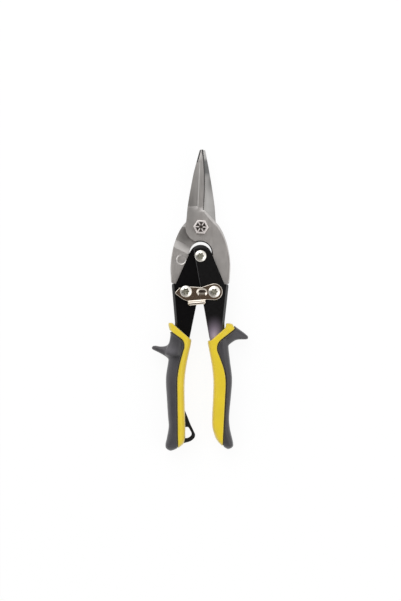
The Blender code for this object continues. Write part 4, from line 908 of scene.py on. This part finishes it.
class SNIPS_OT_frames(Operator):
    """Both handle frames: folded sheet with softened edges and a black coat"""
    bl_idname = "snips.frames"
    bl_label = "Handle frames"

    def execute(self, context):
        settings = context.scene.snips_frames
        # The right frame's coat carries a painted reflection above the grip
        coats = {"right": black_coat("black_coat_painted_sheen", settings.coat, 0.2, (settings.painted_sheen, *FRAME_PAINTED_SHEEN)),
                 "left": black_coat("black_coat", settings.coat, 0.08)}
        painted_light = black_coat("black_coat_painted_highlight", settings.painted_light, 0.75)
        for side, coat in coats.items():
            sheet = merged_copy(f"{side}_frame", f"{side}_frame_stamping")
            out = 1 if side == "right" else -1
            trim = flat((out * x, y) for x, y in FRAME_EDGE)
            boolean(sheet, slab("edge_cutter", trim, -CUTTER_REACH, CUTTER_REACH), "DIFFERENCE")
            self.soften(sheet, side, out, settings)
            round_edges(sheet, settings.edge_round, 2, 40)
            smooth_by_angle(sheet, 18)
            hand_over(sheet, f"handle_{side}", "black_paint", coat, f"{side}_frame")
            # Painted highlight on the folds and edges
            second_material(sheet, painted_light, lambda f: 0.3 < abs(f.normal.z) < 0.9)
        return {"FINISHED"}

    def soften(self, sheet, side, out, settings):
        """Softens the outer folds and the showing face's inner edge, and crowns the ear."""
        low, high = (corner.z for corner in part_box(f"{side}_frame"))
        face = high if out > 0 else low
        for path, level, width, slope in ((FRAME_FOLD, high, settings.fold, FOLD_SLOPE),
                                          (FRAME_FOLD, low, settings.fold, FOLD_SLOPE),
                                          (FRAME_INNER, face, settings.inner_edge, 1.0)):
            cut_wedge(sheet, [(Vector((out * x * MM, y * MM, level)), (width, 1.0, slope * width)) for x, y in path])
        middle, radius, reach, fall = (value * MM for value in EAR_CROWN)
        above = face + out * MM
        crown = [(radius, above), (radius, face), (radius + reach, face - out * fall), (radius + reach, above),
                 (radius, above)]
        ring = turned("crown_cutter", crown, (0, middle), 96)
        boolean(ring, slab("upper_half", flat(EAR_TOP), -CUTTER_REACH, CUTTER_REACH), "INTERSECT")
        boolean(sheet, ring, "DIFFERENCE")


def six_lobed_cutter(centre, radius, low, high):
    """A block with the section of a six-lobed socket."""
    steps, waist, sharpness = 60, 0.28, 1.4
    points = []
    for i in range(steps):
        angle = math.tau * i / steps
        reach = radius * (1 - waist * (0.5 - 0.5 * math.cos(6 * angle)) ** sharpness)
        points.append((centre[0] + reach * math.cos(angle), centre[1] + reach * math.sin(angle)))
    return slab("socket_cutter", points, low, high)


class SNIPS_OT_pivots(Operator):
    """Three pan-head pivot screws with six-lobed sockets, and the flanged posts behind them"""
    bl_idname = "snips.pivots"
    bl_label = "Pivot screws and posts"

    def execute(self, context):
        settings = context.scene.snips_fasteners
        nickel = nickel_plate("screw_nickel", settings.nickel, 0.2, 0.32)
        zinc = nickel_plate("zinc_plate", settings.zinc, 0.32, 0.46, 500)
        shade = socket_shade("socket_shade", (0.33, 0.32, 0.26))
        for pivot, body in (("handle_pivot", "handle_right"), ("right_tail", "handle_right"),
                            ("left_tail", "handle_left")):
            screw = self.screw(pivot, settings)
            smooth_by_angle(screw)
            hand_over(screw, body, "screw_nickel", nickel, f"{pivot}_screw")
            _, high, middle, _ = round_box(f"{pivot}_screw")
            floor = high.z - settings.socket_depth
            # Painted shade on the socket's deeper walls and floor
            second_material(screw, shade, lambda f: (f.center - middle).xy.length < settings.socket_radius
                            and floor - WELD < f.center.z < high.z - 0.35 * settings.socket_depth)
            post = self.post(pivot, settings)
            smooth_by_angle(post)
            hand_over(post, body, "zinc_steel", zinc, f"{pivot}_post")
        for node in ("spring_sleeve", "left_tail_washer", "right_tail_washer"):
            dress_node(node, zinc)
        return {"FINISHED"}

    def screw(self, pivot, settings):
        """A pan head with a low dome over a rounded rim, its shank and its socket."""
        low, high, middle, radius = round_box(f"{pivot}_screw")
        seat = high.z - settings.head_height
        shank, chamfer, dome_slope, rings = 0.33 * radius, 0.2 * MM, 14, 9
        rim_centre = (radius - settings.head_round, high.z - settings.head_crown - settings.head_round)
        rim = arc(rim_centre, settings.head_round, 90 - dome_slope, 0, 6)
        dome_reach, dome_end = rim[0]
        profile = [(dome_reach * i / rings, high.z - (high.z - dome_end) * (i / rings) ** 2) for i in range(rings)]
        profile += rim + [(radius, seat + chamfer), (radius - chamfer, seat), (shank, seat), (shank, low.z),
                          (0, low.z)]
        screw = turned(f"{pivot}_screw_plated", profile, middle, settings.turn_steps)
        cutter = six_lobed_cutter(middle, settings.socket_radius, high.z - settings.socket_depth, high.z + MM)
        boolean(screw, cutter, "DIFFERENCE")
        return screw

    def post(self, pivot, settings):
        """A flanged sleeve with the screw's bore, and a centre mark on its back."""
        low, high, middle, radius = round_box(f"{pivot}_post")
        sleeve, bore, bore_end, chamfer = 0.51 * radius, 0.39 * radius, high.z - 9 * MM, 0.2 * MM
        back = low.z + settings.flange
        edge = settings.head_round
        mark, mark_floor = 0.25 * radius, low.z + 0.12 * MM
        profile = [(0, bore_end), (bore, bore_end), (bore, high.z), (sleeve, high.z), (sleeve, back),
                   (radius - chamfer, back), (radius, back - chamfer)]
        profile += arc((radius - edge, low.z + edge), edge, 0, -90, 6)
        profile += [(mark, low.z), (0.8 * mark, mark_floor), (0, mark_floor)]
        return turned(f"{pivot}_post_turned", profile, middle, settings.turn_steps)


class SNIPS_OT_main_bolt(Operator):
    """Main bolt with a ribbed hexagon head, its spring washer and its nut"""
    bl_idname = "snips.main_bolt"
    bl_label = "Main bolt"

    def execute(self, context):
        settings = context.scene.snips_fasteners
        nickel = nickel_plate("bolt_nickel", settings.bolt, 0.26, 0.38, 900, 0.55)
        zinc = nickel_plate("nut_zinc", settings.zinc, 0.32, 0.46, 500)
        shade = socket_shade("pocket_shade", (0.1, 0.084, 0.075))
        bolt = self.bolt(settings)
        smooth_by_angle(bolt, 30)
        hand_over(bolt, "blade_front", "bolt_nickel", nickel, "pivot_bolt")
        low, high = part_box("pivot_bolt")
        apothem = (high.y - low.y) / 2
        # Painted shade in the pockets between the ribs
        second_material(bolt, shade, lambda f: f.center.xy.length < apothem - settings.rim
                        and 0.3 * settings.pocket_depth < high.z - f.center.z < 2 * settings.pocket_depth)
        nut = self.nut(settings)
        smooth_by_angle(nut, 30)
        hand_over(nut, "blade_front", "zinc_steel", zinc, "pivot_nut")
        dress_node("pivot_spring_washer", zinc)
        return {"FINISHED"}

    def hexagon(self, name, node, settings, low, high):
        """A hexagon as wide as a node, between two levels."""
        box_low, box_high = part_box(node)
        corner = max(box_high.x - box_low.x, box_high.y - box_low.y) / 2
        return start_piece(name, bpy.ops.mesh.primitive_cylinder_add, vertices=6, radius=corner, depth=high - low,
                           location=(0, 0, (low + high) / 2), rotation=(0, 0, settings.hexagon_turn + math.pi / 6))

    def bolt(self, settings):
        """A hexagon with six pockets between ribs, an eye in the middle and a plain shank."""
        low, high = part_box("pivot_bolt")
        head, edge, shank, chamfer = 4.0 * MM, 0.6 * MM, 3.4 * MM, 0.4 * MM
        eye_radius, eye_floor = 1.5 * MM, high.z - 2.2 * MM
        seat = high.z - head
        bolt = self.hexagon("pivot_bolt_plated", "pivot_bolt", settings, seat, high.z)
        with editing(bolt):
            pick_faces(bolt, lambda c, n: n.z > LEVEL)
            bpy.ops.mesh.bevel(offset=edge, segments=3, affect="EDGES")
            pick_faces(bolt, lambda c, n: n.z > LEVEL and c.xy.length < MM)
            bpy.ops.mesh.inset(thickness=settings.rim - edge)
            bpy.ops.mesh.poke()
            bpy.ops.mesh.inset(thickness=settings.rib, use_individual=True)
            bpy.ops.mesh.extrude_region_move(TRANSFORM_OT_translate={"value": (0, 0, -settings.pocket_depth)})
            face_outwards()
        eye = [(0, eye_floor), (eye_radius, eye_floor), (eye_radius, high.z + MM), (0, high.z + MM)]
        boolean(bolt, turned("eye_cutter", eye, (0, 0), 32), "DIFFERENCE")
        round_edges(bolt, 0.2 * MM, 2, 40)
        rod = [(0, low.z), (shank - chamfer, low.z), (shank, low.z + chamfer), (shank, seat + MM), (0, seat + MM)]
        boolean(bolt, turned("bolt_rod", rod, (0, 0), settings.turn_steps), "UNION")
        return bolt

    def nut(self, settings):
        """A hexagon nut with turned corners and an open bore."""
        low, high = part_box("pivot_nut")
        nut = self.hexagon("pivot_nut_plated", "pivot_nut", settings, low.z, high.z)
        bore, flats = 3.7 * MM, 5.5 * MM
        corner = flats + 1.2 * MM
        dome = [(bore, low.z), (flats - 0.2 * MM, low.z), (corner, low.z + 0.8 * MM), (corner, high.z - 0.5 * MM),
                (flats + 0.2 * MM, high.z), (bore, high.z), (bore, low.z)]
        boolean(nut, turned("nut_turning", dome, (0, 0), settings.turn_steps), "INTERSECT")
        return nut


class SNIPS_OT_latch(Operator):
    """Polished latch with bright rounded edges"""
    bl_idname = "snips.latch"
    bl_label = "Latch"

    def execute(self, context):
        settings = context.scene.snips_latch
        plate = nickel_plate("latch_polish", settings.plate, 0.12, 0.18)
        shade = socket_shade("dimple_shade", (0.06, 0.045, 0.036))
        latch = merged_copy("latch_plate", "latch_plate_polished")
        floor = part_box("latch_plate")[0].z + 0.7 * MM
        lip_crest, kept = floor + 2.45 * MM, 0.15
        for vertex in latch.data.vertices:
            if abs(vertex.co.z - floor) < NEAR and vertex.co.y < settings.dimple:
                vertex.co.y = settings.dimple + kept * (vertex.co.y - settings.dimple)
        boolean(latch, slab("lip_cutter", flat(LIP_BOX), lip_crest, CUTTER_REACH), "DIFFERENCE")
        round_edges(latch, settings.edge_round, 5, 30, clamp=False)
        smooth_by_angle(latch, 19)
        hand_over(latch, "latch", "latch_nickel", plate, "latch_plate")
        # Painted shade on the dimple's floor
        second_material(latch, shade, lambda f: f.normal.z > LEVEL and abs(f.center.z - floor) < NEAR)
        return {"FINISHED"}


class SNIPS_OT_spring(Operator):
    """Return spring: a wound wire with a leg down each handle"""
    bl_idname = "snips.spring"
    bl_label = "Return spring"

    def execute(self, context):
        settings = context.scene.snips_spring
        climb = settings.pitch * settings.turns
        half = climb / 2
        wire = start_piece("torsion_spring_wire", bpy.ops.mesh.primitive_circle_add, vertices=16,
                           radius=settings.wire / 2, location=(-settings.coil_radius, 0, -half),
                           rotation=(math.pi / 2, 0, 0))
        apply(wire, "SCREW", axis="Z", angle=-math.tau * settings.turns, screw_offset=climb, steps=100,
              render_steps=100, use_merge_vertices=True, merge_threshold=WELD)
        with editing(wire, "VERT"):
            bpy.ops.transform.translate(value=HANDLE_PIVOT)
        for side, level in ((-1, -half), (1, half)):
            end = HANDLE_PIVOT + Vector((side * settings.coil_radius, 0, level))
            self.leg(wire, end, side, settings)
        with editing(wire):
            bpy.ops.mesh.remove_doubles(threshold=WELD)
            face_outwards()
        smooth_by_angle(wire, 50)
        wire.data.materials.clear()
        wire.data.materials.append(drawn_wire("drawn_wire", settings.steel))
        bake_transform(wire)
        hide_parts("torsion_spring")
        return {"FINISHED"}

    def leg(self, wire, end, side, settings):
        """Pushes the wire's open end down a handle and closes it."""
        with editing(wire, "EDGE"):
            bpy.ops.mesh.select_all(action="DESELECT")
            bpy.ops.object.mode_set(mode="OBJECT")
            near = {v.index for v in wire.data.vertices if (v.co - end).length < settings.wire * 0.6
                    and abs(v.co.y - end.y) < 0.02 * MM}
            for edge in wire.data.edges:
                edge.select = all(i in near for i in edge.vertices)
            bpy.ops.object.mode_set(mode="EDIT")
            steps = 6
            for i in range(steps):
                lean = settings.leg_lean * ((i + 1) ** 2 - i ** 2) / steps ** 2
                push = Vector((-side * lean, -settings.leg_drop / steps, 0))
                bpy.ops.mesh.extrude_region_move(TRANSFORM_OT_translate={"value": push})
            bpy.ops.mesh.edge_face_add()


def grip_point(tail, side, down, out, level=0.0):
    """A place on a grip, in millimetres down and outwards from its tail pivot."""
    return Vector((tail.x + side * out * MM, tail.y - down * MM, tail.z + level))


class SNIPS_OT_grips(Operator):
    """Two grips, each a hard core and a soft cover with its guard, parted along the colour border"""
    bl_idname = "snips.grips"
    bl_label = "Grips"

    def execute(self, context):
        settings = context.scene.snips_grips
        plastic = moulded_plastic("yellow_plastic", settings.core)
        # The right cover's rubber carries painted shade on its flank, the left one's painted light and shade
        rubbers = {"right": soft_rubber("grey_rubber", settings.cover, *RIGHT_PAINTED_SHADE),
                   "left": soft_rubber("grey_rubber_painted_light", settings.cover, *LEFT_PAINTED_LIGHT)}
        for side, name, tail, shape, border in (
                (1, "right", RIGHT_TAIL, (RIGHT_HEEL, RIGHT_GUARD, RIGHT_COLLAR), RIGHT_BORDER),
                (-1, "left", LEFT_TAIL, (LEFT_HEEL, LEFT_GUARD, LEFT_COLLAR), LEFT_BORDER)):
            core = self.form(f"{name}_grip_plastic", side, tail, *shape, settings, 0.0)
            tongue = self.form(f"{name}_tongue", side, tail, *shape, settings, settings.tongue_depth)
            bed = self.form(f"{name}_bed", side, tail, *shape, settings, settings.groove_depth)
            self.melt(core, settings.body_grain, 8)
            cover = twin(core, f"{name}_grip_rubber")
            boolean(core, self.border(tail, side, border, 0.0), "DIFFERENCE")
            boolean(tongue, self.border(tail, side, border, settings.tongue_reach), "DIFFERENCE")
            boolean(cover, self.border(tail, side, border, settings.groove), "INTERSECT")
            boolean(bed, self.border(tail, side, border, 0.05 * MM), "INTERSECT")
            boolean(cover, bed, "UNION")
            boolean(cover, tongue, "DIFFERENCE", keep=True)
            boolean(core, tongue, "UNION")
            for piece, material, slot, node in ((core, plastic, "yellow_plastic", f"{name}_grip_core"),
                                                (cover, rubbers[name], "grey_rubber", f"{name}_grip_cover")):
                self.melt(piece, settings.edge_grain, 3)
                smooth_by_angle(piece, 60)
                hand_over(piece, f"handle_{name}", slot, material, node)
        return {"FINISHED"}

    def melt(self, piece, grain, passes):
        """Runs sharp joins together: a fine voxel skin, then a little smoothing."""
        apply(piece, "REMESH", mode="VOXEL", voxel_size=grain)
        apply(piece, "SMOOTH", factor=0.5, iterations=passes)

    def form(self, name, side, tail, heel, guard, collar, settings, shrink):
        """A whole grip before it is parted: pushed body and guard, cut off along the collar."""
        outer, inner = GRIP_OUTER + heel[0], GRIP_INNER + heel[1]
        thick = SHEAR_LEVEL - CAD_BOX[0].z
        start, end, round_start = outer[0][0], outer[-1][0], heel[0][1][0]
        count = round((end - start) * MM / settings.section_step)
        heel_end = [end - 1.2, end - 0.5, end]
        sections = []
        for down in [start + (end - start) * i / count for i in range(count)] + heel_end:
            high, low = smooth_value(outer, down), smooth_value(inner, down)
            past = max(0.0, down - round_start) / (end - round_start)
            depth = thick * (0.06 + 0.94 * math.sqrt(1 - past ** 3))
            half = [max(size - shrink, 0.5 * MM) for size in ((high - low) / 2 * MM, depth)]
            sections.append((grip_point(tail, side, down, (high + low) / 2), (half[0], 1.0, half[1])))
        body = pushed_form(name, settings.corner, sections, "Y")

        wing, steps = [], 14
        for i in range(steps + 1):
            out = guard[0][0] + (guard[-1][0] - guard[0][0]) * i / steps
            top, bottom, depth = (smooth_value([(g[0], g[k]) for g in guard], out) for k in (1, 2, 3))
            half = [max(size * MM - shrink, 0.3 * MM) for size in ((bottom - top) / 2, depth)]
            wing.append((grip_point(tail, side, (top + bottom) / 2, out), (1.0, *half)))
        boolean(body, pushed_form("guard_form", settings.corner, wing, "X"), "UNION")
        if side < 0:
            boolean(body, self.pad(body, settings, shrink / MM), "UNION")

        edge = [grip_point(tail, side, down, out) - Vector((0, shrink, 0)) for down, out in collar]
        reach = side * CUTTER_REACH
        above = [Vector((tail.x - reach, edge[-1].y)), Vector((tail.x - reach, CUTTER_REACH)),
                 Vector((tail.x + reach, CUTTER_REACH)), Vector((tail.x + reach, edge[0].y))]
        boolean(body, slab("collar_cutter", edge + above, -CUTTER_REACH, CUTTER_REACH), "DIFFERENCE")
        return body

    def pad(self, body, settings, shrink):
        """The raised pad on the left cover's face, above the crease."""
        top = max(v.co.z for v in body.data.vertices)
        sections = []
        for down, near, far, rise in LEFT_PAD:
            near, far = near + shrink, far - shrink
            low, high = SHEAR_LEVEL - 3 * MM, top + rise * MM
            centre = grip_point(LEFT_TAIL, -1, down, (near + far) / 2, (low + high) / 2 - SHEAR_LEVEL)
            sections.append((centre, ((far - near) / 2 * MM, 1.0, (high - low) / 2)))
        return pushed_form("left_pad", settings.corner, sections, "Y")

    def border(self, tail, side, border, inset):
        """The block outside the colour border, moved outwards by an inset."""
        points = [Vector((out, -down)) for down, out in border]
        band, foot = points[:-7], points[-1]
        path = band[:-1] + bezier(band[-1], *points[-7:-4], 10) + bezier(*points[-5:-1], 12)[1:] + [foot]
        moved = []
        for i, point in enumerate(path):
            along = path[min(i + 1, len(path) - 1)] - path[max(i - 1, 0)]
            moved.append(point + Vector((-along.y, along.x)).normalized() * (inset / MM))
        reach = CUTTER_REACH / MM
        moved += [Vector((reach, moved[-1].y)), Vector((reach, moved[0].y))]
        places = [grip_point(tail, side, -p.y, p.x) for p in moved]
        return slab("border_cutter", places, -CUTTER_REACH, CUTTER_REACH)


class SNIPS_OT_hang_loop(Operator):
    """Hang loop: a flat eye with rounded edges, set into the left grip"""
    bl_idname = "snips.hang_loop"
    bl_label = "Hang loop"

    def execute(self, context):
        settings = context.scene.snips_grips
        low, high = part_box("hang_loop")
        edge = smooth_path(LOOP_EDGE, 5)
        outline = edge + [(edge[-1][0], LOOP_ROOT), (edge[0][0], LOOP_ROOT)]
        loop = slab("hang_loop_eye", [grip_point(LEFT_TAIL, -1, d, -i) for d, i in outline], low.z, high.z)
        eye = smooth_path(LOOP_EYE, 5)
        boolean(loop, slab("eye_cutter", [grip_point(LEFT_TAIL, -1, d, -i) for d, i in eye], -MM, CUTTER_REACH),
                "DIFFERENCE")
        round_edges(loop, settings.loop_edge, 3, 50)
        smooth_by_angle(loop, 40)
        hand_over(loop, "handle_left", "black_loop", black_coat("black_loop", settings.loop, 0.25), "hang_loop")
        return {"FINISHED"}


class SNIPS_OT_stage(Operator):
    """Floor, soft studio light and a camera square above the snips"""
    bl_idname = "snips.stage"
    bl_label = "Stage"

    def execute(self, context):
        settings = context.scene.snips_stage
        scene = context.scene
        scene.view_settings.view_transform = "Standard"
        self.floor(settings)
        self.world(scene, settings)
        for name, power in (("key_lamp", settings.key_power), ("fill_lamp", settings.fill_power)):
            self.lamp(name, power, *LAMPS[name])
        for name, card in CARDS.items():
            self.card(name, *card)
        self.camera(scene, settings)
        return {"FINISHED"}

    def fresh_tree(self, owner):
        """The node tree of a material or world, emptied."""
        owner.use_nodes = True
        owner.node_tree.nodes.clear()
        return owner.node_tree.nodes, owner.node_tree.links

    def seen(self, nodes, links):
        """One where a ray comes from the camera, a reflection or a see-through surface."""
        path = nodes.new("ShaderNodeLightPath")
        total = path.outputs["Is Camera Ray"]
        for name in ("Is Glossy Ray", "Is Transmission Ray"):
            either = nodes.new("ShaderNodeMath")
            either.operation = "MAXIMUM"
            links.new(total, either.inputs[0])
            links.new(path.outputs[name], either.inputs[1])
            total = either.outputs[0]
        return total

    def floor(self, settings):
        """A wide pale floor that shows white and keeps the shadow."""
        floor = start_piece("floor", bpy.ops.mesh.primitive_circle_add, vertices=96, radius=9.0, fill_type="NGON",
                            location=(0, 0, CAD_BOX[0].z - 0.1 * MM))
        material = bpy.data.materials.new("pale_floor")
        nodes, links = self.fresh_tree(material)
        white_share, white_strength = 0.88, 1.04
        paint = nodes.new("ShaderNodeBsdfDiffuse")
        paint.inputs["Color"].default_value = (*settings.floor, 1.0)
        white = nodes.new("ShaderNodeEmission")
        white.inputs["Strength"].default_value = white_strength
        share = nodes.new("ShaderNodeMath")
        share.operation = "MULTIPLY"
        share.inputs[1].default_value = white_share
        mix = nodes.new("ShaderNodeMixShader")
        output = nodes.new("ShaderNodeOutputMaterial")
        links.new(self.seen(nodes, links), share.inputs[0])
        links.new(share.outputs[0], mix.inputs["Fac"])
        links.new(paint.outputs[0], mix.inputs[1])
        links.new(white.outputs[0], mix.inputs[2])
        links.new(mix.outputs[0], output.inputs["Surface"])
        floor.data.materials.append(material)

    def world(self, scene, settings):
        """Even light from all round, white where it is seen."""
        scene.world = bpy.data.worlds.new("studio")
        nodes, links = self.fresh_tree(scene.world)
        light, white = nodes.new("ShaderNodeBackground"), nodes.new("ShaderNodeBackground")
        light.inputs["Strength"].default_value = settings.sky
        for background in (light, white):
            background.inputs["Color"].default_value = (1.0, 1.0, 1.0, 1.0)
        mix = nodes.new("ShaderNodeMixShader")
        output = nodes.new("ShaderNodeOutputWorld")
        links.new(self.seen(nodes, links), mix.inputs["Fac"])
        links.new(light.outputs[0], mix.inputs[1])
        links.new(white.outputs[0], mix.inputs[2])
        links.new(mix.outputs[0], output.inputs["Surface"])

    def lamp(self, name, power, size, place):
        """A soft area lamp that faces the snips."""
        data = bpy.data.lights.new(name, "AREA")
        data.energy = power
        data.size = size
        lamp = bpy.data.objects.new(name, data)
        bpy.context.scene.collection.objects.link(lamp)
        lamp.location = place
        lamp.rotation_euler = (-lamp.location).to_track_quat("-Z", "Y").to_euler()
        lamp.visible_camera = False

    def card(self, name, radius, place, colour):
        """A glowing card overhead that only reflections see: a painted reflection that darkens and tints what shiny
        faces reflect.
        """
        card = start_piece(name, bpy.ops.mesh.primitive_circle_add, vertices=64, radius=radius, fill_type="NGON",
                           location=place)
        material = bpy.data.materials.new(name)
        nodes, links = self.fresh_tree(material)
        glow = nodes.new("ShaderNodeEmission")
        glow.inputs["Color"].default_value = (*colour, 1.0)
        links.new(glow.outputs[0], nodes.new("ShaderNodeOutputMaterial").inputs["Surface"])
        card.data.materials.append(material)
        card.visible_camera = card.visible_diffuse = card.visible_shadow = False

    def camera(self, scene, settings):
        """A camera straight above, as far off and as wide as the picture asks."""
        data = bpy.data.cameras.new("camera")
        data.lens = data.sensor_width * settings.distance / settings.field
        data.clip_end = 20 * settings.distance
        camera = bpy.data.objects.new("camera", data)
        scene.collection.objects.link(camera)
        camera.location = Vector(settings.centre) + Vector((0, 0, settings.distance))
        camera.rotation_euler = (0, 0, settings.lean)
        scene.camera = camera


class SNIPS_PT_panel(Panel):
    """Lists the pieces and their settings"""
    bl_label = "Aviation snips"
    bl_idname = "SNIPS_PT_panel"
    bl_space_type = "VIEW_3D"
    bl_region_type = "UI"
    bl_category = "Snips"

    def draw(self, context):
        for operator in OPERATORS:
            self.layout.operator(operator.bl_idname)
        for name, group in SETTINGS.items():
            box = self.layout.box()
            box.label(text=name.replace("snips_", "").title())
            for field in group.__annotations__:
                box.prop(getattr(context.scene, name), field)


SETTINGS = {
    "snips_blades": BladeSettings,
    "snips_frames": FrameSettings,
    "snips_fasteners": FastenerSettings,
    "snips_latch": LatchSettings,
    "snips_spring": SpringSettings,
    "snips_grips": GripSettings,
    "snips_stage": StageSettings,
}
OPERATORS = (SNIPS_OT_blades, SNIPS_OT_frames, SNIPS_OT_main_bolt, SNIPS_OT_pivots, SNIPS_OT_latch,
             SNIPS_OT_spring, SNIPS_OT_grips, SNIPS_OT_hang_loop, SNIPS_OT_stage)


def register():
    for name, group in SETTINGS.items():
        bpy.utils.register_class(group)
        setattr(bpy.types.Scene, name, PointerProperty(type=group))
    for operator in OPERATORS:
        bpy.utils.register_class(operator)
    bpy.utils.register_class(SNIPS_PT_panel)


def unregister():
    bpy.utils.unregister_class(SNIPS_PT_panel)
    for operator in reversed(OPERATORS):
        bpy.utils.unregister_class(operator)
    for name, group in reversed(SETTINGS.items()):
        delattr(bpy.types.Scene, name)
        bpy.utils.unregister_class(group)


def main():
    register()
    bpy.ops.snips.blades()
    bpy.ops.snips.frames()
    bpy.ops.snips.main_bolt()
    bpy.ops.snips.pivots()
    bpy.ops.snips.latch()
    bpy.ops.snips.spring()
    bpy.ops.snips.grips()
    bpy.ops.snips.hang_loop()
    bpy.ops.snips.stage()


if __name__ == "__main__":
    main()
